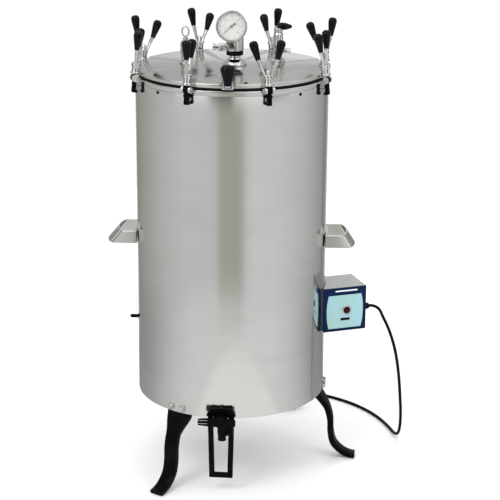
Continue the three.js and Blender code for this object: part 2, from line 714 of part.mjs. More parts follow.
function controlPanel() {
  const half = BOX_WIDTH / 2 - BOX_WALL - GAP;
  const plate = block(-half, half, 1, 3.5, BOX_WALL + GAP, BOX_HEIGHT - BOX_WALL - GAP);
  const lampHole = rod(8.4, -10, 10, 16).rotateX(Math.PI / 2).translate(LAMP_X, 0, LAMP_Z);
  const rockerHole = block(SWITCH_X - 10.4, SWITCH_X + 10.4, -5, 10, SWITCH_Z - 3.5, SWITCH_Z + 3.5);
  return cut(plate, lampHole, rockerHole);
}

function pilotLamp() {
  return turned([[0, -6], [6, -4.5], [8, -1], [11, -1], [11, 0.7], [8, 0.7], [8, 14], [0, 14]], 20)
    .rotateX(-Math.PI / 2).translate(LAMP_X, 0, LAMP_Z);
}

// A rocker that tips about its own long middle line, a little way inside the panel.
function powerSwitch() {
  return block(-10, 10, -1.8, 1.8, -2.6, 2.6).rotateX(rad(SWITCH_TILT)).translate(SWITCH_X, 1.5, SWITCH_Z);
}

function cableGland() {
  const half = BOX_WIDTH / 2;
  const shoulder = bar(9, half + GAP, half + 6, 6);
  const body = bar(7, half + 5, half + GLAND_LENGTH, 12);
  const thread = bar(5.4, half - 6, half + 3, 12);
  return cut(join(shoulder, body, thread), bar(CABLE_R + 0.5, half - 10, half + GLAND_LENGTH - 1, 10))
    .translate(0, GLAND_BACK, GLAND_Z);
}

add('control_box', controlBox(), BOX_BLUE, station);
add('control_panel', controlPanel(), PANEL_CYAN, station);
add('pilot_lamp', pilotLamp(), LAMP_RED, station);
add('power_switch', powerSwitch(), BLACK_PAINT, station);
add('cable_gland', cableGland(), RUBBER, station);

// ---- Mains lead: down to the floor and round behind the vessel to a coil and its plug ----

function cableCoil() {
  const [a, b] = [COIL_MID_R - COIL_HALF_WIDTH, COIL_MID_R + COIL_HALF_WIDTH];
  return turned([[a, 0.1], [b, 0.1], [b, COIL_HEIGHT], [a, COIL_HEIGHT]], 36).translate(COIL_X, COIL_Y, 0);
}

function mainsPlug() {
  const half = [[0, 4.5], [14, 5.5], [20, 12], [26, 20], [48, 22], [54, 19]];
  const outline = [...half, ...half.map(([x, y]) => [x, -y]).reverse()];
  const pin = (y) => bar(2.5, 53, 73, 8).translate(0, y, 12);
  return join(extruded(outline, 24), pin(-9.5), pin(9.5))
    .translate(COIL_X + 27, COIL_Y - COIL_LANE_R, 0.1);
}

add('mains_cable', swept(CABLE_ROUTE, CABLE_R, 64, 8), RUBBER);
add('cable_coil', cableCoil(), RUBBER);
add('mains_plug', mainsPlug(), RUBBER);

// ---- The origin goes to the middle of the footprint of everything but the lead ----

const LEAD = ['mains_cable', 'cable_coil', 'mains_plug'];
const extent = new THREE.Box3();
autoclave.updateMatrixWorld(true);
autoclave.traverse((object) => {
  if (object.isMesh && !LEAD.includes(object.name)) extent.expandByObject(object, true);
});
const middle = extent.getCenter(new THREE.Vector3());
autoclave.position.set(-middle.x, -middle.y, -extent.min.z);

export default root;
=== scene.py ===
import math

import bmesh
import bpy
from mathutils import Matrix, Vector


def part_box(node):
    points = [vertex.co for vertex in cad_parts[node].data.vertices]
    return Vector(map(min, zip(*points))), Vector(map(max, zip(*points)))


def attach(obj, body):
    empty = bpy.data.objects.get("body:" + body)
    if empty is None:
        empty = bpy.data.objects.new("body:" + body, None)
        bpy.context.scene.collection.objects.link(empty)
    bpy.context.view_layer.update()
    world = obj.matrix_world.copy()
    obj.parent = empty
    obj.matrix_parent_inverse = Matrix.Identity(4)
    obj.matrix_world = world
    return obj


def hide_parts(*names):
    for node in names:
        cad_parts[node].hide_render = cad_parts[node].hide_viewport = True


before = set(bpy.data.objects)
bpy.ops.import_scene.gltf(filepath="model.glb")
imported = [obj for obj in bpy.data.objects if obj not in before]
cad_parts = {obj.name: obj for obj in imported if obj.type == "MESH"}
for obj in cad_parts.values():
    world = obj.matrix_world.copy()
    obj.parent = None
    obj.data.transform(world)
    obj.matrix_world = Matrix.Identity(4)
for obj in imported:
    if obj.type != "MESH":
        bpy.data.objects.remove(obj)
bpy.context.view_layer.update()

# Vertical autoclave. Shapes are written in millimetres about the vessel's axis, with z = 0 on the floor and
# -Y to the front, and piece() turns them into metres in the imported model's frame. Angles round the vessel are
# in degrees, counted from the front towards +X.
MM = 0.001


def span(node):
    """A CAD node's lowest and highest corner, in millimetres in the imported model's frame."""
    low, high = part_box(node)
    return low / MM, high / MM


shell_low, shell_high = span("outer_shell")
AXIS = Vector(((shell_low.x + shell_high.x) / 2, (shell_low.y + shell_high.y) / 2, 0))
SHELL_R = (shell_high.x - shell_low.x) / 2
SHELL_BOTTOM, SHELL_TOP = shell_low.z, shell_high.z
RING_TOP = span("top_ring")[1].z
GASKET_LOW, GASKET_HIGH = span("lid_gasket")[0].z, span("lid_gasket")[1].z
LID_BOTTOM = GASKET_HIGH + 0.3
LID_TOP = span("lid")[1].z
LID_R = SHELL_R - 1
CHAMBER_LOW = span("inner_chamber")[0].z
CHAMBER_R = 175
CHAMBER_FLOOR = CHAMBER_LOW + 2
COVER_Z = span("bottom_cover")[0].z

# Clamps: angles, the way each nut is turned, the pivot of the hook bolts and heights on their studs.
CLAMPS = [22.5 + 45 * i for i in range(8)]
NUT_HEADINGS = [0, 72, 28, 56, -38, -24, 90, 82]
PIVOT_R, PIVOT_Z = 209, 850.5
HOOK_LEAN = 7
CATCH_Z = PIVOT_Z - 20.4
HUB_BASE, HUB_TOP = 8.5, 30.5
GRIP_TILT, ARM_TILT = 15, 20
THREAD_PITCH, THREAD_DEPTH = 1.5, 0.45

# Fittings of the vessel.
SHELL_SCREW_Z = 833.6
LID_SCREW_R, LID_SCREW_ANGLES = 188, (10.6, -52.3)
OUTLET_Z = 313
HANDLE_OUT, HANDLE_ARM = 261, 45.1
HANDLE_SEAT_R, HANDLE_ROOT_R = 202.4, 199.4
LEG_ANGLES = {"leg_front_left": -32.3, "leg_right": 86.5, "leg_rear": 209}
LEG_WIDTH, LEG_FLARE, LEG_THICK, FOOT_THINNED = 30, 26, 12.6, 4.6
LEG_POINTS, FOOT_START = 72, 52
LEG_BOLT_Z, LEG_BOLT_SIDE = 171.5, 14
LEG_BOLT_ACROSS, LEG_BOLT_HEAD = 12, 5
# Inside the vessel.
COVER_R, COVER_SCREW_R = 197, 184
HEATER_R, HEATER_RISE, HEATER_PLUG_X = 112, 26, 105
BASKET_R, BASKET_COLUMNS, BASKET_ROWS = 156, 76, 30
BAIL_R = 151
STAND_HOLE_RINGS = ((48, 8), (84, 14), (120, 20))

# Fittings of the lid: pairs are (x, y). The dial is measured back from the rim of its case.
SEAT_GAP = 0.3
BOSS = (5, 8)
GAUGE_Z, GAUGE_R, GAUGE_FRONT, GAUGE_DEPTH = 948.4, 32, -38, 27
SAFETY = (-97, 16)
RELEASE = (94, 24)
RELEASE_SPINDLE_Z, RELEASE_TURN = 935, -8
KNOB_R, KNOB_SEAT, KNOB_ANGLES = 201, 857.5, (0, 180)
DIAL_Z, DIAL_START, DIAL_SWEEP = -8.5, 225, 270
POINTER_TURN = 130

# Control box, with its fittings measured from the bottom middle of its front, and the drain cock.
BOX_HEADING = 20.5
BOX_CORNER = (243.1, -39.8, 301.5)
BOX_WIDTH, BOX_DEPTH, BOX_HEIGHT = 96, 85, 96.5
BOX_WALL = 2
LAMP_X, LAMP_Z = 4, 46
SWITCH_X, SWITCH_Z, SWITCH_LEAN = 1, 26, 8
GLAND_Y, GLAND_Z = 20, 43.5
DRAIN_ANGLE, DRAIN_Z = -3.4, 164
INLET_Z = 178
PLATE_HALF = 8.5
GUARD_TOP_HALF, GUARD_LOW_HALF, GUARD_LOW, GUARD_BAR = 27.5, 24.5, 31, 11

# Mains lead: its coil goes in on the floor, climbs over most of a lap and comes out on top.
CABLE_R = 3.25
CABLE_LIE = 3.4
COIL = (62, 305)
COIL_LANE_R, COIL_INNER_R = 44.6, 27.4
COIL_TURNS, COIL_SPIRAL_TURNS, TURN_POINTS = 5.5, 2.6, 24
COIL_CLIMB_START, COIL_CLIMB_TURNS, COIL_LIFT = 2.28, 0.96, 6.6
PLUG_X = COIL[0] + 27


# ---- Camera ----

CAMERA_ANGLE = 2.4
CAMERA_DISTANCE = 3.3
CAMERA_HEIGHT = 1.4896
CAMERA_TURN = math.degrees(0.0119)
CAMERA_DOWN = math.degrees(0.301)
CAMERA_ROLL = math.degrees(0.0067)
LENS_MM = 116.78


def turn(degrees, axis="Z"):
    return Matrix.Rotation(math.radians(degrees), 4, axis)


def shift(x, y, z):
    return Matrix.Translation((x, y, z))


def link(obj):
    bpy.context.scene.collection.objects.link(obj)
    return obj


def add_camera():
    data = bpy.data.cameras.new("camera")
    data.lens = LENS_MM
    data.sensor_width = 36
    data.clip_end = 50
    camera = link(bpy.data.objects.new("camera", data))
    a = math.radians(CAMERA_ANGLE)
    place = AXIS * MM + Vector((CAMERA_DISTANCE * math.sin(a), -CAMERA_DISTANCE * math.cos(a),
                                CAMERA_HEIGHT))
    camera.matrix_world = (Matrix.Translation(place) @ turn(CAMERA_ANGLE - CAMERA_TURN)
                           @ turn(90 - CAMERA_DOWN, "X") @ turn(CAMERA_ROLL))
    bpy.context.scene.camera = camera


add_camera()


# ---- Node helpers for materials ----

class Nodes:
    """A material's node tree, with short ways to add a node and feed a socket."""

    def __init__(self, name):
        self.mat = bpy.data.materials.new(name)
        self.mat.use_nodes = True
        self.tree = self.mat.node_tree

    def node(self, kind, **settings):
        made = self.tree.nodes.new(kind)
        for key, value in settings.items():
            setattr(made, key, value)
        return made

    def feed(self, value, socket):
        """Sets the socket to a number or colour, or links another node's output to it."""
        if isinstance(value, bpy.types.NodeSocket):
            self.tree.links.new(value, socket)
        else:
            socket.default_value = value

    def levels(self, value, low, high, to_low=0.0, to_high=1.0, curve="LINEAR"):
        levels = self.node("ShaderNodeMapRange", interpolation_type=curve)
        sockets = ("Value", "From Min", "From Max", "To Min", "To Max")
        for socket, number in zip(sockets, (value, low, high, to_low, to_high)):
            self.feed(number, levels.inputs[socket])
        return levels.outputs["Result"]

    def mix(self, share, first, second):
        """A colour that goes from first to second with share."""
        mix = self.node("ShaderNodeMix", data_type="RGBA")
        for socket, value in (("Factor", share), ("A", first), ("B", second)):
            self.feed(value, mix.inputs[socket])
        return mix.outputs["Result"]

    def calc(self, kind, first, second):
        made = self.node("ShaderNodeMath", operation=kind)
        for value, socket in zip((first, second), made.inputs):
            self.feed(value, socket)
        return made.outputs[0]


class Maker(Nodes):
    """Builds one material round a Principled shader."""

    def __init__(self, name, color, rough, metal=0.0, **sockets):
        super().__init__(name)
        self.shader = self.tree.nodes["Principled BSDF"]
        self.shader.inputs["Base Color"].default_value = (*color, 1)
        self.shader.inputs["Roughness"].default_value = rough
        self.shader.inputs["Metallic"].default_value = metal
        for socket, value in sockets.items():
            self.shader.inputs[socket.replace("_", " ")].default_value = value
        self.coords = self.node("ShaderNodeTexCoord")
        self.normal = None

    def noise(self, scale, detail, stretch=(1, 1, 1), distortion=0.0):
        mapping = self.node("ShaderNodeMapping")
        mapping.inputs["Scale"].default_value = stretch
        self.feed(self.coords.outputs["Object"], mapping.inputs["Vector"])
        noise = self.node("ShaderNodeTexNoise")
        noise.inputs["Scale"].default_value = scale
        noise.inputs["Detail"].default_value = detail
        noise.inputs["Distortion"].default_value = distortion
        self.feed(mapping.outputs["Vector"], noise.inputs["Vector"])
        return noise.outputs["Fac"]

    def rough(self, value, low, high):
        self.feed(self.levels(value, 0.3, 0.7, low, high), self.shader.inputs["Roughness"])
        return self

    def bump(self, value, depth):
        """Raises the surface by depth metres. Each call adds to the one before."""
        bump = self.node("ShaderNodeBump")
        bump.inputs["Distance"].default_value = depth
        self.feed(value, bump.inputs["Height"])
        if self.normal:
            self.feed(self.normal, bump.inputs["Normal"])
        self.normal = bump.outputs["Normal"]
        self.feed(self.normal, self.shader.inputs["Normal"])
        return self

    def tint(self, value, low, high, first, second):
        """Colour from first to second as value goes from low to high."""
        color = self.mix(self.levels(value, low, high), (*first, 1), (*second, 1))
        self.feed(color, self.shader.inputs["Base Color"])
        return self


def polished_sheet():
    """Mirror-polished sheet: long ripples, fine polishing lines round the vessel and faint smears."""
    m = Maker("polished_sheet", (0.66, 0.66, 0.645), 0.12, 1.0)
    lines = m.noise(1, 2, (12, 12, 2600))
    smears = m.noise(5, 4, (1, 1, 2.4), 0.6)
    m.rough(smears, 0.085, 0.17)
    m.tint(smears, 0.35, 0.7, (0.68, 0.68, 0.665), (0.63, 0.635, 0.615))
    m.bump(lines, 0.0000035)
    return m.bump(m.noise(3.2, 1, (1, 1, 0.35)), 0.00035).mat


def polished_lid():
    m = Maker("polished_lid", (0.66, 0.66, 0.645), 0.14, 1.0)
    smears = m.noise(9, 4, distortion=0.8)
    m.rough(smears, 0.1, 0.2)
    m.tint(smears, 0.35, 0.7, (0.67, 0.67, 0.655), (0.61, 0.61, 0.59))
    m.bump(m.noise(900, 1, (1, 0.03, 1)), 0.000004)
    return m.bump(m.noise(4, 1), 0.0004).mat


def satin_steel():
    m = Maker("satin_steel", (0.6, 0.6, 0.59), 0.3, 1.0)
    grain = m.noise(1, 3, (60, 60, 1500))
    m.rough(grain, 0.24, 0.4)
    m.tint(m.noise(14, 4), 0.35, 0.7, (0.62, 0.62, 0.61), (0.5, 0.5, 0.485))
    return m.bump(grain, 0.00001).mat


def chrome():
    m = Maker("chrome", (0.64, 0.64, 0.63), 0.07, 1.0)
    m.rough(m.noise(60, 4), 0.05, 0.12)
    m.tint(m.noise(35, 3), 0.4, 0.75, (0.66, 0.66, 0.65), (0.55, 0.545, 0.53))
    return m.bump(m.noise(240, 2), 0.00001).mat


def zinc():
    m = Maker("zinc_plate", (0.58, 0.58, 0.56), 0.3, 1.0)
    m.rough(m.noise(180, 3), 0.22, 0.42)
    m.tint(m.noise(90, 4), 0.4, 0.7, (0.6, 0.6, 0.58), (0.45, 0.44, 0.4))
    return m.bump(m.noise(500, 2), 0.00002).mat


def black_enamel():
    m = Maker("black_enamel", (0.0015, 0.0015, 0.002), 0.34, Specular_IOR_Level=0.05)
    m.rough(m.noise(26, 4), 0.26, 0.46)
    m.tint(m.noise(48, 5, distortion=0.4), 0.5, 0.85, (0.0012, 0.0012, 0.0016), (0.006, 0.006, 0.006))
    m.bump(m.noise(420, 2), 0.00005)
    return m.bump(m.noise(60, 2), 0.0002).mat


def phenolic():
    m = Maker("black_phenolic", (0.001, 0.001, 0.0025), 0.1, Specular_IOR_Level=0.16)
    m.rough(m.noise(70, 4), 0.07, 0.15)
    m.tint(m.noise(120, 4), 0.45, 0.8, (0.001, 0.001, 0.0025), (0.004, 0.0035, 0.007))
    return m.bump(m.noise(300, 2), 0.00002).mat


def rubber():
    m = Maker("black_rubber", (0.002, 0.002, 0.002), 0.62, Specular_IOR_Level=0.08)
    m.rough(m.noise(40, 4), 0.5, 0.72)
    m.tint(m.noise(70, 5), 0.4, 0.8, (0.0015, 0.0015, 0.0015), (0.007, 0.007, 0.0065))
    return m.bump(m.noise(900, 3), 0.00005).mat


def cord_sheath():
    m = Maker("cord_sheath", (0.002, 0.002, 0.0025), 0.42, Specular_IOR_Level=0.08)
    m.rough(m.noise(55, 4), 0.34, 0.52)
    m.tint(m.noise(110, 4), 0.45, 0.8, (0.0015, 0.0015, 0.002), (0.006, 0.006, 0.006))
    return m.bump(m.noise(700, 2), 0.00004).mat


def moulded_black():
    m = Maker("moulded_black", (0.003, 0.003, 0.004), 0.4, Specular_IOR_Level=0.1)
    m.rough(m.noise(90, 3), 0.32, 0.5)
    m.tint(m.noise(160, 3), 0.4, 0.8, (0.0025, 0.0025, 0.0035), (0.009, 0.009, 0.01))
    return m.bump(m.noise(1100, 2), 0.00006).mat


def dial_white():
    m = Maker("dial_white", (0.68, 0.69, 0.66), 0.4)
    m.rough(m.noise(150, 3), 0.32, 0.46)
    m.tint(m.noise(60, 4), 0.4, 0.8, (0.7, 0.71, 0.68), (0.63, 0.64, 0.61))
    return m.bump(m.noise(900, 2), 0.00001).mat


def dial_ink():
    m = Maker("dial_ink", (0.04, 0.045, 0.055), 0.5)
    m.tint(m.noise(900, 2), 0.35, 0.7, (0.035, 0.04, 0.05), (0.09, 0.095, 0.11))
    return m.rough(m.noise(300, 2), 0.42, 0.6).mat


def gauge_glass():
    m = Maker("gauge_glass", (0.96, 0.98, 0.98), 0.04, Alpha=0.12)
    m.rough(m.noise(40, 3), 0.02, 0.07)
    return m.mat


def hammered_grey():
    """Hammertone stove enamel: grey with a fine dimpled skin."""
    m = Maker("hammered_grey", (0.3, 0.31, 0.3), 0.36, 0.35)
    cells = m.node("ShaderNodeTexVoronoi", feature="SMOOTH_F1")
    cells.inputs["Scale"].default_value = 330
    m.feed(m.coords.outputs["Object"], cells.inputs["Vector"])
    m.tint(m.noise(240, 3), 0.3, 0.7, (0.27, 0.285, 0.275), (0.35, 0.36, 0.345))
    m.rough(m.noise(120, 3), 0.3, 0.44)
    return m.bump(cells.outputs["Distance"], 0.00012).mat


def film(name, first, second):
    """A printed film under a clear coat, with a slight shade across it."""
    m = Maker(name, first, 0.2, Specular_IOR_Level=0.12)
    m.tint(m.noise(22, 2), 0.3, 0.7, first, second)
    m.rough(m.noise(80, 3), 0.12, 0.26)
    return m.bump(m.noise(700, 2), 0.000012).mat


def lamp_lens():
    m = Maker("lamp_lens", (0.022, 0.002, 0.002), 0.12, Specular_IOR_Level=0.15)
    m.tint(m.noise(400, 3), 0.3, 0.7, (0.026, 0.002, 0.002), (0.01, 0.0015, 0.0015))
    return m.rough(m.noise(200, 2), 0.08, 0.18).mat


# Each finish is a material and the slot it usually fills.
SHEET = polished_sheet(), "stainless"
LID_STEEL = polished_lid(), "stainless"
SATIN = satin_steel(), "stainless_inner"
CHROME = chrome(), "chrome"
ZINC = zinc(), "stainless"
ENAMEL = black_enamel(), "black_paint"
PHENOLIC = phenolic(), "phenolic"
RUBBER = rubber(), "rubber"
SHEATH = cord_sheath(), "cord_sheath"
MOULDED = moulded_black(), "cord_sheath"
DIAL = dial_white(), "dial"
INK = dial_ink(), "dial"
GLASS = gauge_glass(), "gauge_glass"
HAMMERED = hammered_grey(), "box_paint"
NAVY = film("navy_print", (0.0008, 0.008, 0.045), (0.0012, 0.012, 0.06)), "box_panel"
AQUA = film("aqua_print", (0.31, 0.51, 0.47), (0.32, 0.52, 0.59)), "box_panel"
PALE_BLUE = film("pale_blue_print", (0.3, 0.42, 0.62), (0.36, 0.5, 0.68)), "box_panel"
PALE_STRIP = film("pale_strip", (0.72, 0.8, 0.84), (0.78, 0.85, 0.88)), "box_panel"
LENS_RED = lamp_lens(), "lamp_lens"


# ---- Shapes: each is (corners, faces) in millimetres ----

CORNER_STEPS = 4
NOTHING = 1e-6
CURVE_STEPS = 24


def rounded(points, closed, steps):
    """An outline of (x, y) or (x, y, radius) points, with a curve at each corner that has a radius."""
    out = []
    for i, p in enumerate(points):
        here = Vector(p[:2])
        if len(p) < 3 or (not closed and i in (0, len(points) - 1)):
            out.append(here)
            continue
        back = Vector(points[i - 1][:2]) - here
        on = Vector(points[(i + 1) % len(points)][:2]) - here
        reach = min(p[2] / math.tan(back.angle(on) / 2), 0.49 * back.length, 0.49 * on.length)
        a, b = here + back.normalized() * reach, here + on.normalized() * reach
        for k in range(steps + 1):
            t = k / steps
            out.append(a * (1 - t) ** 2 + here * 2 * t * (1 - t) + b * t * t)
    return out


def joined(*shapes):
    corners, faces = [], []
    for c, f in shapes:
        base = len(corners)
        corners += c
        faces += [[base + i for i in face] for face in f]
    return corners, faces


def placed(shape, matrix):
    return [matrix @ Vector(c) for c in shape[0]], shape[1]


def skinned(rings, caps=True):
    """Faces between rings of equal length, each closed on itself. A ring of one corner is a pole."""
    corners, faces, starts = [], [], []
    for ring in rings:
        starts.append(len(corners))
        corners += ring
    for a, b, ra, rb in zip(starts, starts[1:], rings, rings[1:]):
        n = max(len(ra), len(rb))
        for k in range(n):
            ends = ((a, ra, k), (a, ra, (k + 1) % n), (b, rb, (k + 1) % n), (b, rb, k))
            faces.append(list(dict.fromkeys(start + i * (len(ring) > 1) for start, ring, i in ends)))
    if caps:
        for start, ring in ((starts[0], rings[0]), (starts[-1], rings[-1])):
            if len(ring) > 2:
                faces.append([start + k for k in range(len(ring))])
    return corners, faces


def circle(radius, sides):
    return [(radius * math.cos(2 * math.pi * k / sides), radius * math.sin(2 * math.pi * k / sides))
            for k in range(sides)]


def level_ring(radius, z, sides):
    """A ring of corners at height z, or one corner if the radius is nothing."""
    if radius < NOTHING:
        return [Vector((0, 0, z))]
    return [Vector((x, y, z)) for x, y in circle(radius, sides)]


def turned(profile, sides=64, steps=CORNER_STEPS):
    """A solid turned about Z from (radius, z[, corner radius]) points: pole to pole, or a closed ring."""
    hollow = profile[0][0] > NOTHING
    rings = [level_ring(r, z, sides) for r, z in rounded(profile, hollow, steps)]
    if hollow:
        rings.append(rings[0])
    return skinned(rings, caps=False)


def rod(radius, low, high, sides=24, edges=(0, 0)):
    """A round bar along Z. edges are the corner radii at its low and high ends."""
    rim = [(radius, z, edge) if edge else (radius, z) for z, edge in zip((low, high), edges)]
    return turned([(0, low), *rim, (0, high)], sides)


def prism(outline, low, high):
    """An upright prism from z = low to high over a closed outline of (x, y[, corner radius]) points."""
    flat = rounded(outline, True, CORNER_STEPS)
    return skinned([[Vector((p.x, p.y, z)) for p in flat] for z in (low, high)])


def block(x0, x1, y0, y1, z0, z1):
    return prism([(x0, y0), (x1, y0), (x1, y1), (x0, y1)], z0, z1)


def hexagon(across, low, high):
    """A hexagon prism with its corners turned off, as on a nut or bolt head."""
    radius, chamfer = across / math.sqrt(3), 0.09 * across
    levels = ((low, 0.9), (low + chamfer, 1), (high - chamfer, 1), (high, 0.9))
    return skinned([level_ring(share * radius, z, 6) for z, share in levels])


def smooth_line(points, count):
    """count evenly spaced points on a centripetal curve through the given ones."""
    dense = []
    for knots in bezier_knots(points):
        a, b, c, d = knots
        for k in range(CURVE_STEPS):
            t = k / CURVE_STEPS
            dense.append(a * (1 - t) ** 3 + b * 3 * t * (1 - t) ** 2 + c * 3 * t * t * (1 - t) + d * t ** 3)
    dense.append(Vector(points[-1]))
    lengths = [0.0]
    for a, b in zip(dense, dense[1:]):
        lengths.append(lengths[-1] + (b - a).length)
    out, k = [], 0
    for i in range(count):
        want = lengths[-1] * i / (count - 1)
        while k < len(lengths) - 2 and lengths[k + 1] < want:
            k += 1
        part = (want - lengths[k]) / max(lengths[k + 1] - lengths[k], 1e-9)
        out.append(dense[k].lerp(dense[k + 1], part))
    return out


def bezier_knots(points):
    """The start, two handles and end of each stretch of a centripetal curve through points."""
    p = [Vector(q) for q in points]
    p = [2 * p[0] - p[1], *p, 2 * p[-1] - p[-2]]
    for i in range(1, len(p) - 2):
        step = [max((p[i + k] - p[i + k - 1]).length ** 0.5, 1e-4) for k in range(3)]
        leave = step[1] * ((p[i] - p[i - 1]) / step[0] - (p[i + 1] - p[i - 1]) / (step[0] + step[1])
                           + (p[i + 1] - p[i]) / step[1])
        arrive = step[1] * ((p[i + 1] - p[i]) / step[1] - (p[i + 2] - p[i]) / (step[1] + step[2])
                            + (p[i + 2] - p[i + 1]) / step[2])
        yield p[i], p[i] + leave / 3, p[i + 1] - arrive / 3, p[i + 1]


def swept(path, radius, sides=16, closed=False, start_up=(0, 0, 1)):
    """A round bar along a path."""
    path = [Vector(p) for p in path]
    n = len(path)
    rings, up = [], Vector(start_up)
    for i, p in enumerate(path):
        before = path[(i - 1) % n] if closed or i else p
        after = path[(i + 1) % n] if closed or i < n - 1 else p
        along = (after - before).normalized()
        side = up.cross(along)
        if side.length < 1e-4:
            side = Vector((1, 0, 0)).cross(along)
        side.normalize()
        up = along.cross(side).normalized()
        rings.append([p + side * a + up * b for a, b in circle(radius, sides)])
    if closed:
        return skinned([*rings, rings[0]], caps=False)
    return skinned(rings)


def ribbon(line, widths, thicks, corner):
    """A flat bar bent along a line in the XY plane, with a width along Z and a thickness for each point."""
    rings = []
    for i, here in enumerate(line):
        along = (line[min(i + 1, len(line) - 1)] - line[max(i - 1, 0)]).normalized()
        across = Vector((-along.y, along.x))
        h, w = thicks[i] / 2, widths[i] / 2
        section = rounded([(h, w, corner), (-h, w, corner), (-h, -w, corner), (h, -w, corner)], True, 2)
        rings.append([Vector((here.x + across.x * s.x, here.y + across.y * s.x, s.y)) for s in section])
    return skinned(rings)


def even_ribbon(line, width, thick, corner):
    return ribbon([Vector(p) for p in line], [width] * len(line), [thick] * len(line), corner)


def thread(radius, low, high):
    """A threaded end: ridges a pitch apart."""
    profile, z = [(0, low)], low
    while z + THREAD_PITCH < high:
        profile += [(radius - THREAD_DEPTH, z), (radius, z + THREAD_PITCH / 2)]
        z += THREAD_PITCH
    profile += [(radius - THREAD_DEPTH, z), (radius - 1.2, high), (0, high)]
    return turned(profile, 20)


def eased(share):
    """0 to 1, starting and ending level."""
    share = min(max(share, 0), 1)
    return share * share * (3 - 2 * share)


def out_at(angle, radius=0, z=0):
    """Turns a shape built with +X outwards to its angle round the vessel, counted from the front."""
    return turn(angle - 90) @ shift(radius, 0, z)


# What these do to a shape's Z axis: along +X, along +Y, along -Y, and along +X with the shape's Y upwards.
LYING_X = turn(90, "Y")
LYING_Y = turn(-90, "X")
FACING_FRONT = turn(90, "X")
FACING_OUT = turn(90) @ FACING_FRONT


# ---- Pieces ----

def mesh_of(name, shape, place):
    matrix = Matrix.Scale(MM, 4) @ Matrix.Translation(AXIS) @ place
    mesh = bpy.data.meshes.new(name)
    mesh.from_pydata([matrix @ Vector(c) for c in shape[0]], [], shape[1])
    bm = bmesh.new()
    bm.from_mesh(mesh)
    bmesh.ops.remove_doubles(bm, verts=bm.verts, dist=1e-6)
    bmesh.ops.recalc_face_normals(bm, faces=bm.faces)
    bm.to_mesh(mesh)
    bm.free()
    return mesh


def piece(name, shape, finish, replaces=None, place=Matrix(), bevel=0.0, body="vessel", sharp=40,
          cuts=(), steps=2):
    """One visible piece. bevel is the width of its rounded edges; cuts are shapes taken out of it first."""
    material, usual_slot = finish
    obj = link(bpy.data.objects.new(name, mesh_of(name, shape, place)))
    if cuts:
        cut_away(obj, cuts, place)
    obj.data.materials.append(material)
    obj.data.shade_smooth()
    if bevel:
        edge = obj.modifiers.new("edge", "BEVEL")
        edge.width = bevel * MM
        edge.segments = steps
        edge.limit_method = "ANGLE"
        edge.angle_limit = math.radians(sharp)
        edge.harden_normals = True
    else:
        obj.data.set_sharp_from_angle(angle=math.radians(sharp))
    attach(obj, body)
    if replaces:
        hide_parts(replaces)
    return obj


def cut_away(obj, shapes, place):
    tools = []
    for shape in shapes:
        tool = link(bpy.data.objects.new("tool", mesh_of("tool", shape, place)))
        cut = obj.modifiers.new("cut", "BOOLEAN")
        cut.operation = "DIFFERENCE"
        cut.solver = "EXACT"
        cut.object = tool
        tools.append(tool)
    bpy.context.view_layer.update()
    evaluated = obj.evaluated_get(bpy.context.evaluated_depsgraph_get())
    mesh = bpy.data.meshes.new_from_object(evaluated)
    obj.modifiers.clear()
    obj.data = mesh
    for tool in tools:
        bpy.data.objects.remove(tool)


# ---- The mains lead: down to the floor and round behind the vessel ----

# Metres in the vessel's frame, as in the CAD route, from the gland to the coil.
CABLE_ROUTE = [
    (0.2946, 0.0009, 0.345), (0.3034, 0.0042, 0.3436), (0.3116, 0.0072, 0.3397), (0.3192, 0.0101, 0.3322),
    (0.327, 0.013, 0.3155), (0.3375, 0.017, 0.293), (0.3485, 0.021, 0.263), (0.3585, 0.0255, 0.225),
    (0.3665, 0.031, 0.175), (0.3715, 0.038, 0.124), (0.375, 0.047, 0.076), (0.375, 0.060, 0.038),
    (0.372, 0.078, 0.015), (0.366, 0.102, 0.0056), (0.357, 0.134, 0.0038), (0.345, 0.168, 0.0034),
    (0.326, 0.208, 0.0034), (0.298, 0.249, 0.0034), (0.260, 0.288, 0.0034), (0.214, 0.320, 0.0034),
    (0.166, 0.341, 0.0034), (0.128, 0.3484, 0.0034), (0.088, 0.3496, 0.0034),
]


def coil_points():
    """The coil: inwards on the floor, up over most of a lap near the middle, and outwards on top."""
    points = []
    for k in range(int(COIL_TURNS * TURN_POINTS) + 1):
        turns = k / TURN_POINTS
        out = max(1 - turns / COIL_SPIRAL_TURNS, 0, 1 - (COIL_TURNS - turns) / COIL_SPIRAL_TURNS)
        radius = COIL_INNER_R + (COIL_LANE_R - COIL_INNER_R) * out
        height = CABLE_LIE + COIL_LIFT * eased((turns - COIL_CLIMB_START) / COIL_CLIMB_TURNS)
        a = math.pi / 2 + 2 * math.pi * turns
        points.append(((COIL[0] + radius * math.cos(a)) * MM, (COIL[1] + radius * math.sin(a)) * MM,
                       height * MM))
    return points


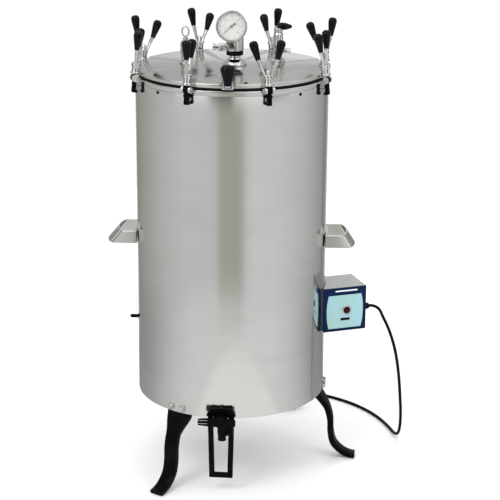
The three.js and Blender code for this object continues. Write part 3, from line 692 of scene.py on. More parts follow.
def mains_lead():
    axis = AXIS * MM
    end = ((PLUG_X + 6) * MM, (COIL[1] - COIL_LANE_R) * MM, 0.0115)
    points = [Vector(p) + axis for p in [*CABLE_ROUTE, *coil_points(), end]]
    data = bpy.data.curves.new("mains_lead", "CURVE")
    data.dimensions = "3D"
    data.bevel_depth = CABLE_R * MM
    data.bevel_resolution = 6
    data.resolution_u = 8
    data.use_fill_caps = True
    spline = data.splines.new("BEZIER")
    spline.bezier_points.add(len(points) - 1)
    for knot, p in zip(spline.bezier_points, points):
        knot.co = p
        knot.handle_left_type = knot.handle_right_type = "FREE"
        knot.handle_left = knot.handle_right = p
    for i, (_, leave, arrive, _) in enumerate(bezier_knots(points)):
        spline.bezier_points[i].handle_right = leave
        spline.bezier_points[i + 1].handle_left = arrive
    data.materials.append(SHEATH[0])
    lead = link(bpy.data.objects.new("mains_lead", data))
    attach(lead, "vessel")
    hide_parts("mains_cable", "cable_coil")
    return lead, points[0]


def plug():
    """A rewirable two-pin plug lying on its side, with a ribbed strain relief."""
    place = shift(PLUG_X, COIL[1] - COIL_LANE_R, 0.1)
    body = prism([(17, 7, 2), (24, 17, 4), (30, 21, 6), (48, 22, 2), (54, 19, 2), (54, -19, 2),
                  (48, -22, 2), (30, -21, 6), (24, -17, 4), (17, -7, 2)], 0, 24)
    shell = piece("plug_body", body, MOULDED, "mains_plug", place, 1.6, steps=3)
    relief = [(0, 0), (4.3, 0, 0.4)]
    for k in range(6):
        x = 2 + 2.6 * k
        relief += [(4.4 + 0.25 * k, x), (4.4 + 0.25 * k, x + 1.4), (3.8 + 0.25 * k, x + 1.7),
                   (3.8 + 0.25 * k, x + 2.4)]
    relief += [(6.6, 19), (0, 19)]
    sleeve = piece("plug_relief", turned(relief, 28), SHEATH, place=place @ shift(0, 0, 11.4) @ LYING_X)
    pins = []
    for i, y in enumerate((-9.5, 9.5)):
        pin = turned([(0, 53), (2.5, 53), (2.5, 73, 1.2), (0, 73)], 20)
        pins.append(piece(f"plug_pin_{i + 1}", pin, CHROME, place=place @ shift(0, y, 12) @ LYING_X))
    screw = turned([(0, 23.6), (3, 23.6), (3, 23.9, 0.2), (0, 23.9)], 20)
    pins.append(piece("plug_screw", screw, ZINC, place=place @ shift(38, 0, 0)))
    return [shell, sleeve, *pins]


lead, lead_exit = mains_lead()
plug()


# ---- Vessel ----

def vessel_shell():
    inner = SHELL_R - 1.4
    wall = turned([(inner - 1.2, SHELL_BOTTOM + 1.4, 0.6), (inner - 0.6, SHELL_BOTTOM, 0.7),
                   (SHELL_R, SHELL_BOTTOM, 1.8), (SHELL_R, SHELL_TOP, 0.4), (inner, SHELL_TOP, 0.3),
                   (inner, SHELL_BOTTOM + 3, 0.8)], 256)
    piece("shell_wall", wall, SHEET, "outer_shell", sharp=30)
    for i in range(4):
        head = turned([(0, 0), (3.4, 0), (3.2, 1, 0.5), (1.8, 1.9, 0.8), (0, 2.1)], 24)
        piece(f"shell_screw_{i + 1}", head, ENAMEL,
              place=out_at(45 + 90 * i, SHELL_R - 0.1, SHELL_SCREW_Z) @ LYING_X)
    fold = [(SHELL_R + 0.12, -1.6), (SHELL_R + 0.2, 0), (SHELL_R + 0.12, 1.6)]
    seam = even_ribbon(fold, SHELL_TOP - SHELL_BOTTOM - 8, 0.2, 0.05)
    piece("shell_seam", seam, SATIN, place=out_at(180) @ shift(0, 0, (SHELL_TOP + SHELL_BOTTOM) / 2))


def top_ring():
    bore, flange = CHAMBER_R + 2.3, RING_TOP - 10
    ring = turned([(bore, RING_TOP, 0.6), (bore, flange, 0.5), (188, flange), (188, CATCH_Z - 3.3, 0.5),
                   (SHELL_R - 1.8, CATCH_Z - 3.3, 0.5), (SHELL_R - 1.8, flange), (SHELL_R, flange, 0.5),
                   (SHELL_R, RING_TOP, 1.2)], 192)
    piece("ring_flange", ring, SHEET, "top_ring", sharp=30)
    for i, angle in enumerate(CLAMPS):
        pin = turned([(0, -2), (3.3, -2), (3.3, 5, 0.6), (0, 5)], 24)
        collar = turned([(3.3, 0), (5.2, 0, 0.4), (5.2, 1.4, 0.5), (3.3, 1.4)], 28)
        piece(f"catch_pin_{i + 1}", joined(pin, collar), ZINC,
              place=out_at(angle, SHELL_R - 1, CATCH_Z) @ LYING_X)


def chamber():
    out = CHAMBER_R + 2
    wall = turned([(0, CHAMBER_LOW - 0.5), (out - 8, CHAMBER_LOW, 10), (out, CHAMBER_LOW + 12, 9),
                   (out, RING_TOP - 0.3, 0.6), (CHAMBER_R, RING_TOP - 0.3, 0.6),
                   (CHAMBER_R, CHAMBER_FLOOR + 13, 9), (CHAMBER_R - 8, CHAMBER_FLOOR, 9),
                   (0, CHAMBER_FLOOR - 0.4)], 128)
    piece("chamber_wall", wall, SATIN, "inner_chamber", sharp=30)
    cover = turned([(0, COVER_Z), (70, COVER_Z, 3), (74, COVER_Z + 1.19, 3), (90, COVER_Z + 1.2, 3),
                    (94, COVER_Z, 3), (COVER_R, COVER_Z, 0.3), (COVER_R, COVER_Z + 2, 0.3),
                    (0, COVER_Z + 2.6)], 128)
    piece("base_cover", cover, SATIN, "bottom_cover", sharp=50)
    for i in range(6):
        head = turned([(0, 0), (4, 0), (3.8, -1.2, 0.5), (0, -1.8)], 24)
        piece(f"cover_screw_{i + 1}", head, ZINC, place=out_at(60 * i + 30, COVER_SCREW_R, COVER_Z))


def heating_loop():
    z = CHAMBER_FLOOR + HEATER_RISE
    angles = [math.radians(a) for a in range(12, 349, 12)]
    loop = [(HEATER_R * math.cos(a), HEATER_R * math.sin(a), z) for a in angles]
    ends = [[(108, s * 9, CHAMBER_FLOOR + 5), (108, s * 9, z - 12), (110, s * 14, z - 2)] for s in (1, -1)]
    line = smooth_line([*ends[0], *loop, *ends[1][::-1]], 150)
    piece("heating_element", swept(line, 4.9), SATIN, "heater", sharp=50)
    flange = turned([(0, CHAMBER_FLOOR - 8), (20, CHAMBER_FLOOR - 8, 1), (20, CHAMBER_FLOOR + 4),
                     (0, CHAMBER_FLOOR + 4)], 40)
    nut = placed(joined(hexagon(46, CHAMBER_FLOOR + 0.3, CHAMBER_FLOOR + 7), flange),
                 shift(HEATER_PLUG_X, 0, 0))
    piece("heating_plug", nut, ZINC, sharp=30)


def perforated(rows, columns, at, hole):
    """A sheet of cells with an eight-sided hole in each. at(u, v) gives the corner for cell coordinates."""
    corners, faces, index = [], [], {}

    def corner(u, v):
        key = (round(u * 100) % (columns * 100), round(v * 100))
        if key not in index:
            index[key] = len(corners)
            corners.append(at(u, v))
        return index[key]

    rim = [(0, 0), (0.5, 0), (1, 0), (1, 0.5), (1, 1), (0.5, 1), (0, 1), (0, 0.5)]
    for row in range(rows):
        for column in range(columns):
            outer = [corner(column + u, row + v) for u, v in rim]
            base = len(corners)
            for k in range(8):
                a = math.radians(225 + 45 * k)
                corners.append(at(column + 0.5 + hole * math.cos(a), row + 0.5 + hole * math.sin(a)))
            faces += [[outer[k], outer[(k + 1) % 8], base + (k + 1) % 8, base + k] for k in range(8)]
    return corners, faces


def basket_wall(low, high):
    pitch = (high - low - 26) / BASKET_ROWS

    def on_wall(u, v):
        a = 2 * math.pi * u / BASKET_COLUMNS
        return Vector((BASKET_R * math.cos(a), BASKET_R * math.sin(a), low + 14 + pitch * v))

    mesh = perforated(BASKET_ROWS, BASKET_COLUMNS, on_wall, 0.3)
    wall = piece("basket_wall", mesh, SATIN, "basket", sharp=60)
    skin = wall.modifiers.new("thickness", "SOLIDIFY")
    skin.thickness = 1.2 * MM
    skin.offset = 0


def basket_ends(low, high):
    inner, outer = BASKET_R - 0.8, BASKET_R + 0.8
    rim = turned([(inner, high - 14, 0.3), (outer, high - 14, 0.3), (outer, high - 6),
                  (BASKET_R + 4.6, high - 6, 1), (BASKET_R + 4.6, high, 1.5), (inner, high, 0.6)], 128)
    base = turned([(0, low), (BASKET_R - 4, low, 3), (outer, low + 5, 2), (outer, low + 15, 0.3),
                   (inner, low + 15, 0.3), (BASKET_R - 1, low + 6, 2), (BASKET_R - 6, low + 2, 2),
                   (0, low + 2)], 128)
    piece("basket_rim", rim, SATIN)
    piece("basket_base", base, SATIN)


def bail(top):
    half = [(BAIL_R, 0, top - 34), (BAIL_R, 0, top - 4), (BAIL_R - 10, 0, top + 22),
            (BAIL_R - 44, 0, top + 42)]
    route = [*half, (0, 0, top + 50), *[(-x, y, z) for x, y, z in half[::-1]]]
    bar = swept(smooth_line(route, 70), 2.9, start_up=(0, 1, 0))
    piece("bail_bar", bar, SATIN, "basket_bail", sharp=50)


def basket_stand():
    top = span("basket_stand")[1].z
    plate = turned([(18, top - 3, 0.5), (150, top - 3, 0.5), (150, top, 0.5), (18, top, 0.5)], 96)
    holes = [placed(rod(9, -9, 9), shift(x, y, top)) for r, n in STAND_HOLE_RINGS for x, y in circle(r, n)]
    piece("stand_plate", plate, SATIN, "basket_stand", cuts=[joined(*holes)])
    for i, angle in enumerate((30, 150, 270)):
        foot = rod(5, CHAMBER_FLOOR + 0.4, top - 2.5, edges=(1, 0))
        piece(f"stand_foot_{i + 1}", foot, SATIN, place=turn(angle) @ shift(138, 0, 0))


def basket():
    low, high = span("basket")
    basket_wall(low.z, high.z)
    basket_ends(low.z, high.z)
    bail(high.z)
    basket_stand()


def side_handle(name, angle, slope):
    """A strap bent to a closed loop, riveted to the shell. Its grip slopes outwards and down."""
    low, high = span(name)
    half = 1.5

    def plan(reach):
        angles = [math.radians(a) for a in range(-11, 12, 2)]
        seat = [(HANDLE_SEAT_R * math.cos(a), HANDLE_SEAT_R * math.sin(a)) for a in angles]
        ends = [(HANDLE_ROOT_R, HANDLE_ARM, 3.5), (reach - 10, HANDLE_ARM, 10)]
        bowed = [(reach - y * y / 210, y) for y in (28, 14, 0, -14, -28)]
        return rounded([*seat, *ends, *bowed, *[(x, -y, r) for x, y, r in ends[::-1]]], True, 6)

    def beside(line, distance):
        moved = []
        for i, p in enumerate(line):
            along = (line[(i + 1) % len(line)] - line[i - 1]).normalized()
            moved.append(p + Vector((along.y, -along.x)) * distance)
        return moved

    bottom, top = plan(HANDLE_OUT), plan(HANDLE_OUT - slope)
    edges = [(beside(bottom, half), low.z), (beside(top, half), high.z), (beside(top, -half), high.z),
             (beside(bottom, -half), low.z)]
    rings = [[Vector((*line[i], z)) for line, z in edges] for i in range(len(bottom))]
    strap = skinned([*rings, rings[0]], caps=False)
    piece(f"{name}_strap", strap, SHEET, name, out_at(angle), bevel=0.8, sharp=50)
    middle = (low.z + high.z) / 2
    for i, side in enumerate((-7, 7)):
        rivet = turned([(0, 0), (3.8, 0), (3.5, 1.2, 0.6), (1.8, 2.1, 0.8), (0, 2.3)], 24)
        piece(f"{name}_rivet_{i + 1}", rivet, ZINC, place=out_at(angle + side, 203.8, middle) @ LYING_X)


def leg(name, angle):
    """A flat bar bent to an S, wider where it is bolted to the shell, with its foot turned out."""
    line = smooth_line([(186, 199, 0), (186, 170, 0), (188, 154, 0), (199, 137, 0), (211, 116, 0),
                        (218, 90, 0), (219.5, 60, 0), (226, 34, 0), (243.5, 15, 0), (262, 6.4, 0),
                        (273, 4.9, 0)], LEG_POINTS)
    widths = [LEG_WIDTH + LEG_FLARE * eased((p.y - 112) / 46) for p in line]
    feet = [max(0, (i - FOOT_START) / (LEG_POINTS - 1 - FOOT_START)) for i in range(LEG_POINTS)]
    thicks = [LEG_THICK - FOOT_THINNED * foot for foot in feet]
    for p, thick in zip(line, thicks):
        p.y = max(p.y, thick / 2 + 0.02)
    bar = ribbon([p.xy for p in line], widths, thicks, 1.6)
    piece(f"{name}_bar", bar, ENAMEL, name, out_at(angle) @ FACING_FRONT, sharp=35)
    washer = turned([(0, 0), (LEG_BOLT_ACROSS * 0.72, 0, 0.3), (LEG_BOLT_ACROSS * 0.72, 1.2, 0.3),
                     (0, 1.2)], 32)
    bolt = joined(washer, hexagon(LEG_BOLT_ACROSS, 1.2, 1.2 + LEG_BOLT_HEAD))
    for i, side in enumerate((-LEG_BOLT_SIDE, LEG_BOLT_SIDE)):
        place = out_at(angle + math.degrees(side / SHELL_R), SHELL_R, LEG_BOLT_Z) @ LYING_X
        piece(f"{name}_bolt_{i + 1}", bolt, ZINC, place=place, sharp=30)


def stub():
    bar = turned([(0, 179), (6.8, 179, 0.6), (6.8, 184, 0.6), (4, 184), (4, 214, 0.5), (3.2, 218, 0.5),
                  (0, 218)], 32)
    piece("outlet_rod", bar, ENAMEL, "outlet_stub", out_at(-90, 0, OUTLET_Z) @ LYING_X)
    grommet = turned([(4.2, -1.4), (7.5, -0.4, 0.4), (7.5, 1.2, 0.8), (4.2, 1.8, 0.5)], 32)
    piece("outlet_grommet", grommet, RUBBER, place=out_at(-90, SHELL_R, OUTLET_Z) @ LYING_X)


vessel_shell()
top_ring()
chamber()
heating_loop()
basket()
side_handle("side_handle_right", 90, slope=17)
side_handle("side_handle_left", -90, slope=22)
for leg_name, leg_angle in LEG_ANGLES.items():
    leg(leg_name, leg_angle)
stub()


# ---- Drain cock, its lever and the guard ----

def drain_tube():
    heading = turn(DRAIN_ANGLE).to_3x3() @ Vector((0, -1, 0))
    run = ((22, 252), (128, 250), (150, 232), (150, INLET_Z + 18), (160, INLET_Z + 3), (176, INLET_Z),
           (188, INLET_Z))
    fall = [Vector((0, 0, CHAMBER_LOW - 0.3)), Vector((0, 0, 270)),
            *[heading * r + Vector((0, 0, z)) for r, z in run]]
    tube = swept(smooth_line(fall, 90), 6.4, 20, start_up=(0, 1, 0))
    piece("drain_tube", tube, SATIN, "drain_pipe", sharp=50)


def cock_body(front):
    h = PLATE_HALF
    plate = placed(prism([(-31, -h, 1), (31, -h, 1), (23, h, 1), (-23, h, 1)], 0, 8),
                   shift(SHELL_R + 0.8, 0, INLET_Z) @ FACING_OUT)
    piece("cock_plate", plate, ENAMEL, "drain_valve_body", front, 0.8)
    inlet = turned([(0, SHELL_R - 11), (7.9, SHELL_R - 11, 0.5), (7.9, SHELL_R + 3), (0, SHELL_R + 3)], 32)
    piece("cock_inlet", inlet, ZINC, place=front @ shift(0, 0, INLET_Z) @ LYING_X)
    barrel = turned([(0, SHELL_R + 2), (11, SHELL_R + 2, 1), (11, SHELL_R + 9, 1), (10, SHELL_R + 10),
                     (10, SHELL_R + 19), (11, SHELL_R + 20, 0.6), (11, 224.6, 0.8), (0, 224.6)], 40)
    piece("cock_barrel", barrel, ENAMEL, place=front @ shift(0, 0, DRAIN_Z) @ LYING_X)
    neck = block(SHELL_R + 2, SHELL_R + 17.5, -14, 14, DRAIN_Z + 1, DRAIN_Z + 9)
    piece("cock_neck", neck, ENAMEL, place=front, bevel=1.6, steps=3)


def cock_mouth(front):
    """The spout, and beside it the block that stops the lever, with notches in its lower edge."""
    z = DRAIN_Z
    stop = block(SHELL_R + 8, SHELL_R + 19.8, 6, 26, z - 32.8, z + 2)
    notch = prism([(-2.2, -5), (2.2, -5), (0, 4)], -10, 10)
    notches = [placed(notch, shift(SHELL_R + 14, y, z - 33) @ FACING_OUT) for y in (11, 17, 23)]
    piece("cock_stop", stop, ENAMEL, place=front, bevel=0.9, cuts=[joined(*notches)])
    spout = turned([(6, z - 30), (6.2, z - 44, 0.8), (8.6, z - 44, 0.8), (8.6, z - 40.5, 0.4),
                    (7.4, z - 39.5, 0.4), (8.8, z - 36.5, 0.4), (7.6, z - 35.5, 0.4), (9, z - 32.5, 0.4),
                    (7.8, z - 31.5, 0.4), (9.4, z - 28, 0.4), (9.4, z - 4), (6, z - 4)], 32)
    piece("cock_spout", spout, ENAMEL, place=front @ shift(SHELL_R + 14, 3, 0), sharp=30)


def cock_lever(front):
    blade = [(-46, 6.5, 3), (-46, -6.5, 3), (-20, -9, 4), (0, -10, 2), (32, -7.5, 3), (32, 7.5, 3),
             (0, 10, 2), (-20, 9, 4)]
    lever = placed(prism(blade, 0, 4.6), shift(225.1, 0, DRAIN_Z) @ FACING_OUT)
    slots = joined(*[block(220, 240, -50, -26, DRAIN_Z + y - 1.2, DRAIN_Z + y + 1.2) for y in (-3.4, 3.4)])
    piece("cock_lever", lever, ENAMEL, "drain_valve_lever", front, 0.8, body="drain_lever", cuts=[slots])
    cap = turned([(0, 225), (12, 225, 0.8), (12, 229.5, 1.2), (8, 231.5, 0.8), (0, 231.8)], 36)
    piece("cock_lever_boss", joined(cap, hexagon(11, 229, 233)), ENAMEL,
          place=front @ shift(0, 0, DRAIN_Z) @ LYING_X, body="drain_lever")


def guard(front):
    top, low, a, b, w = INLET_Z - PLATE_HALF - 0.3, GUARD_LOW, GUARD_TOP_HALF, GUARD_LOW_HALF, GUARD_BAR
    outline = [(-a, top), (-b, low, 1.6), (b, low, 1.6), (a, top), (a - w, top), (b - w, low + w, 0.5),
               (w - b, low + w, 0.5), (w - a, top)]
    piece("guard_bar", placed(prism(outline, 0, 6), shift(SHELL_R + 1, 0, 0) @ FACING_OUT), ENAMEL,
          "drain_guard", front, 0.9)


def cock_screws(front):
    screw = turned([(0, 0), (4, 0), (3.6, 1.6, 0.8), (0, 2.2)], 24)
    for i, y in enumerate((-19, 19)):
        piece(f"cock_screw_{i + 1}", screw, ENAMEL,
              place=front @ shift(SHELL_R + 8.7, y, INLET_Z) @ LYING_X)


cock_front = out_at(DRAIN_ANGLE)
drain_tube()
cock_body(cock_front)
cock_mouth(cock_front)
cock_lever(cock_front)
guard(cock_front)
cock_screws(cock_front)


# ---- Lid ----

def lid_plate():
    plate = turned([(0, LID_BOTTOM), (165, LID_BOTTOM), (165, LID_BOTTOM - 9, 1), (172, LID_BOTTOM - 9, 1),
                    (172, LID_BOTTOM), (LID_R, LID_BOTTOM, 0.8), (LID_R, LID_TOP, 1.6), (0, LID_TOP)], 256)
    spot = placed(rod(15, LID_BOTTOM + 2, LID_TOP + 9, 48), shift(PIVOT_R - 2, 0, 0))
    knob_spot = placed(rod(16, KNOB_SEAT, LID_TOP + 9, 48), shift(KNOB_R, 0, 0))
    cuts = [joined(*[placed(spot, out_at(a)) for a in CLAMPS]),
            joined(*[placed(knob_spot, out_at(a)) for a in KNOB_ANGLES])]
    piece("lid_plate", plate, LID_STEEL, "lid", bevel=0.5, body="lid", sharp=35, cuts=cuts)


def lid_fittings():
    head = turned([(0, 0), (3.6, 0), (3.4, 1.2, 0.5), (1.8, 2, 0.8), (0, 2.2)], 24)
    for i, angle in enumerate(LID_SCREW_ANGLES):
        piece(f"lid_screw_{i + 1}", head, ENAMEL, place=out_at(angle, LID_SCREW_R, LID_TOP - 0.1),
              body="lid")
    tab = prism([(186, -12), (KNOB_R + 11, -12, 5), (KNOB_R + 11, 12, 5), (186, 12)], LID_BOTTOM + 0.05,
                KNOB_SEAT - 0.05)
    for i, angle in enumerate(KNOB_ANGLES):
        piece(f"knob_tab_{i + 1}", tab, LID_STEEL, place=out_at(angle), bevel=0.6, body="lid")


def fork_lug(number, angle):
    """Two cheeks on a tongue at the lid's edge, with the pin that a hook bolt rocks on."""
    cheek = prism([(-12, -6.9, 2), (0, -8, 5), (7, -5, 5), (8, 0, 5), (7, 5, 5), (0, 8, 5), (-12, 6.2, 2)],
                  -2.6, 2.6)
    ears = [placed(cheek, shift(PIVOT_R, y, PIVOT_Z) @ FACING_FRONT) for y in (-7.9, 7.9)]
    tongue = block(186, PIVOT_R - 9.5, -10.5, 10.5, LID_BOTTOM + 0.1, LID_BOTTOM + 1.9)
    piece(f"lug_{number}", joined(*ears, tongue), CHROME, place=out_at(angle), bevel=0.7, body="lid")
    pin = turned([(0, -12.6), (4, -12.6, 0.5), (4, -10.7, 0.4), (3, -10.7), (3, 10.7), (4, 10.7, 0.4),
                  (4, 12.6, 0.5), (0, 12.6)], 24)
    piece(f"lug_pin_{number}", pin, ZINC, place=out_at(angle, PIVOT_R, PIVOT_Z) @ FACING_FRONT, body="lid",
          sharp=30)


def gasket():
    low, high = GASKET_LOW, GASKET_HIGH
    ring = turned([(183, low, 1), (SHELL_R - 0.6, low, 2.2), (SHELL_R - 0.6, high, 2.2), (183, high, 1)],
                  192)
    piece("gasket_ring", ring, RUBBER, "lid_gasket", body="lid")


def lid_knob(name, angle):
    seat = KNOB_SEAT + 0.3
    pear = turned([(0, seat + 3), (8, seat + 3, 0.8), (8.2, seat + 10, 6), (11.2, seat + 22, 14),
                   (14.6, seat + 32, 9), (14.2, seat + 39, 7), (8, seat + 44, 8), (0, seat + 44.7)], 48, 6)
    piece(f"{name}_grip", pear, PHENOLIC, name, out_at(angle, KNOB_R), body="lid", sharp=60)
    ferrule = rod(7.4, seat, seat + 3, 32, (0.4, 0.5))
    piece(f"{name}_ferrule", ferrule, CHROME, place=out_at(angle, KNOB_R), body="lid")


lid_plate()
for lug_number, lug_angle in enumerate(CLAMPS, 1):
    fork_lug(lug_number, lug_angle)
lid_fittings()
gasket()
for knob_name, knob_angle in zip(("lid_knob_front", "lid_knob_rear"), KNOB_ANGLES):
    lid_knob(knob_name, knob_angle)


# ---- Clamps ----

def hook_bolt(number, place):
    """The eye in the lug, the threaded stud above it and the strap with its toe below, about the pivot."""
    body = f"hook_{number}"
    eye = placed(rod(7.3, -4.7, 4.7, 36, (0.8, 0.8)), FACING_FRONT)
    root = turned([(0, 4), (5.4, 4), (4.6, 9, 2), (4.4, 10), (0, 10)], 24)
    piece(f"hook_{number}_eye", joined(eye, root), ENAMEL, f"hook_bolt_{number}", place, body=body,
          sharp=35)
    piece(f"hook_{number}_stud", thread(4.4, 10, HUB_TOP + 9), ZINC, place=place, body=body, sharp=25)
    strap = [(3.8, -4, 1), (3.8, -29.8, 2.2), (-7.6, -29.8, 1.2), (-7.6, -24.7, 1), (-3.8, -24.7, 1.2),
             (-3.8, -4, 1)]
    flat = placed(prism(strap, -4.5, 4.5), FACING_FRONT)
    piece(f"hook_{number}_strap", flat, ENAMEL, place=place, body=body, bevel=1)
    collar = [(-6.3, -14.8, 2), (6.3, -14.8, 2), (6.3, -9.4, 2), (-6.3, -9.4, 2)]
    yoke = placed(prism(collar, -3.7, 3.7), FACING_OUT)
    piece(f"hook_{number}_yoke", yoke, ENAMEL, place=place, body=body, bevel=1)


def wing_nut(number, place):
    """A turned hub with two rods screwed into it and a black grip on each."""
    body, top = f"nut_{number}", HUB_TOP
    hub = turned([(5.1, HUB_BASE, 0.3), (10, HUB_BASE, 0.7), (10, HUB_BASE + 3, 0.6),
                  (8.6, HUB_BASE + 4.5, 1), (8.6, top - 8, 1.5), (10, top - 5.5, 1.2), (10, top - 1.4, 0.8),
                  (8.4, top, 0.6), (5.1, top, 0.3)], 40)
    piece(f"nut_{number}_hub", hub, CHROME, f"wing_nut_{number}", place, body=body, sharp=40)
    for side, sign in (("a", 1), ("b", -1)):
        arm = turned([(0, -3), (3.6, -3), (3.6, 3), (3.1, 6, 2), (3.3, 20), (3.9, 24, 1), (3.9, 34),
                      (0, 34)], 24)
        foot = place @ shift(sign * 6, 0, top - 5) @ turn(sign * ARM_TILT, "Y")
        piece(f"nut_{number}_arm_{side}", arm, CHROME, place=foot, body=body, sharp=40)
        seat = place @ shift(sign * 18.6, 0, top + 28.5) @ turn(sign * GRIP_TILT, "Y")
        ring = rod(4.9, -1.2, 0.9, 32, (0.5, 0.3))
        piece(f"nut_{number}_collar_{side}", ring, CHROME, place=seat, body=body)
        grip = turned([(0, 1), (4.9, 1, 0.8), (6.9, 15, 19), (8.9, 29, 7), (8.5, 35, 5), (5, 38.6, 5),
                       (0, 39.2)], 36, 6)
        piece(f"nut_{number}_grip_{side}", grip, PHENOLIC, place=seat, body=body, sharp=60)


for number, (angle, heading) in enumerate(zip(CLAMPS, NUT_HEADINGS), 1):
    clamp = out_at(angle, PIVOT_R, PIVOT_Z) @ turn(-HOOK_LEAN, "Y")
    hook_bolt(number, clamp)
    wing_nut(number, clamp @ turn(heading - (angle - 90)))


# ---- Pressure gauge ----

def boss():
    place = shift(*BOSS, LID_TOP + SEAT_GAP)
    bell = turned([(0, 0), (25, 0, 0.8), (25, 3, 1.2), (22, 7.5, 4), (14, 12, 6), (10.9, 17, 4), (10.9, 30),
                   (0, 30)], 64, 6)
    piece("boss_bell", bell, CHROME, "gauge_boss", place, body="lid", sharp=40)
    block_top = turned([(0, 30), (18, 30, 1), (18.4, 34, 1), (18.4, 59, 1.5), (15.5, 63, 1.5), (0, 63)], 64)
    piece("boss_block", block_top, CHROME, place=place, body="lid", sharp=40)
    band = turned([(11.2, 20.2, 0.8), (17.4, 20.2, 1.6), (17.4, 28.8, 1.6), (11.2, 28.8, 0.8)], 56)
    piece("boss_seal", band, RUBBER, "boss_washer", place, body="lid")
    pipe = turned([(0, 5), (5.9, 5), (5.9, 40, 0.5), (7, 41.5, 0.5), (7, 46, 1), (0, 46)], 32)
    piece("boss_branch", joined(pipe, hexagon(15.5, 20, 33)), CHROME,
          place=place @ shift(0, 0, 36) @ turn(180) @ LYING_X, body="lid", sharp=30)


def gauge_fitting():
    """The stem below the case and the elbow that joins it to the boss."""
    stem_y, low = GAUGE_FRONT + 13, LID_TOP + 34
    stem = joined(hexagon(16.6, low + 4, GAUGE_Z - GAUGE_R - 0.4), rod(7, low, low + 6, 32, (1, 1)))
    piece("gauge_neck", stem, CHROME, "gauge_stem", shift(0, stem_y, 0), body="lid",
          sharp=30)
    elbow = rod(5.9, 2, BOSS[1] - 18.8 - stem_y, 28)
    piece("gauge_elbow", elbow, CHROME, place=shift(0, stem_y, low + 12) @ LYING_Y, body="lid")


def gauge(front):
    back = -GAUGE_DEPTH
    case = turned([(0, back), (27, back, 2), (30, back + 3, 2), (30, -6.5, 0.6), (31.9, -5.5, 0.6),
                   (31.9, 0, 1.6), (29.4, 0, 0.7), (28.7, -2.6, 0.3), (28.7, back + 3), (0, back + 3)], 96)
    piece("gauge_shell", case, CHROME, "gauge_case", front, body="lid", sharp=35)
    piece("gauge_face", rod(28.1, -10, DIAL_Z, 80, (0.2, 0.2)), DIAL, "gauge_dial", front, body="lid")
    piece("gauge_window", rod(28.1, -3.8, -2.3, 80, (0.2, 0.3)), GLASS, "gauge_glass", front, body="lid")


def dial_angle(share):
    return math.radians(DIAL_START - DIAL_SWEEP * share)


def tick(share, inner, outer, half):
    return placed(block(inner, outer, -half, half, DIAL_Z, DIAL_Z + 0.12),
                  Matrix.Rotation(dial_angle(share), 4, "Z"))


def ticks():
    """The scale round the dial: long, middle and short marks, an inner scale and a line along each."""
    marks = []
    for k in range(61):
        inner, half = (20.6, 0.36) if k % 10 == 0 else (22.6, 0.24) if k % 5 == 0 else (24, 0.13)
        marks.append(tick(k / 60, inner, 25.6, half))
    marks += [tick(k / 30, 13.6, 15 + (k % 6 == 0), 0.14) for k in range(31)]
    for radius, width in ((25.7, 0.24), (13.5, 0.2)):
        angles = [dial_angle(k / 60) for k in range(61)]
        arc = even_ribbon([(radius * math.cos(a), radius * math.sin(a)) for a in angles], 0.12, width, 0.01)
        marks.append(placed(arc, shift(0, 0, DIAL_Z + 0.06)))
    return joined(*marks)


def figure(text):
    """A flat figure's mesh as a shape."""
    data = bpy.data.curves.new("figure", "FONT")
    data.body = text
    data.size = 4.6
    data.align_x = "CENTER"
    data.align_y = "CENTER"
    data.extrude = 0.05
    data.resolution_u = 3
    obj = link(bpy.data.objects.new("figure", data))
    bpy.context.view_layer.update()
    mesh = bpy.data.meshes.new_from_object(obj.evaluated_get(bpy.context.evaluated_depsgraph_get()))
    shape = [v.co.copy() for v in mesh.vertices], [list(p.vertices) for p in mesh.polygons]
    bpy.data.objects.remove(obj)
    bpy.data.meshes.remove(mesh)
    return shape


def numerals():
    """Scale numbers 0 to 30."""
    figures = []
    for k in range(7):
        a = dial_angle(k / 6)
        at = shift(17.9 * math.cos(a), 17.9 * math.sin(a), DIAL_Z + 0.08)
        figures.append(placed(figure(str(5 * k)), at))
    return joined(*figures)


def pointer(front):
    needle = prism([(-1.5, -7, 0.5), (1.5, -7, 0.5), (1, 0), (0.35, 20.8), (-0.35, 20.8), (-1, 0)], -6.6,
                   -5.9)
    tail = placed(turned([(0, -6.7), (2.6, -6.7, 0.3), (2.6, -5.6, 0.4), (0, -5.6)], 28), shift(0, -8, 0))
    hub = turned([(0, -7.6), (2.8, -7.6), (2.8, -5.2, 0.5), (1.2, -4.7, 0.3), (0, -4.6)], 28)
    piece("pointer_needle", joined(needle, tail, hub), ENAMEL, "gauge_pointer", front @ turn(POINTER_TURN),
          body="pointer")


boss()
gauge_front = shift(0, GAUGE_FRONT, GAUGE_Z) @ FACING_FRONT
gauge_fitting()
gauge(gauge_front)
piece("gauge_scale", ticks(), INK, place=gauge_front, body="lid", sharp=30)
piece("gauge_numbers", numerals(), INK, place=gauge_front, body="lid", sharp=30)
pointer(gauge_front)


# ---- Valves on the lid ----

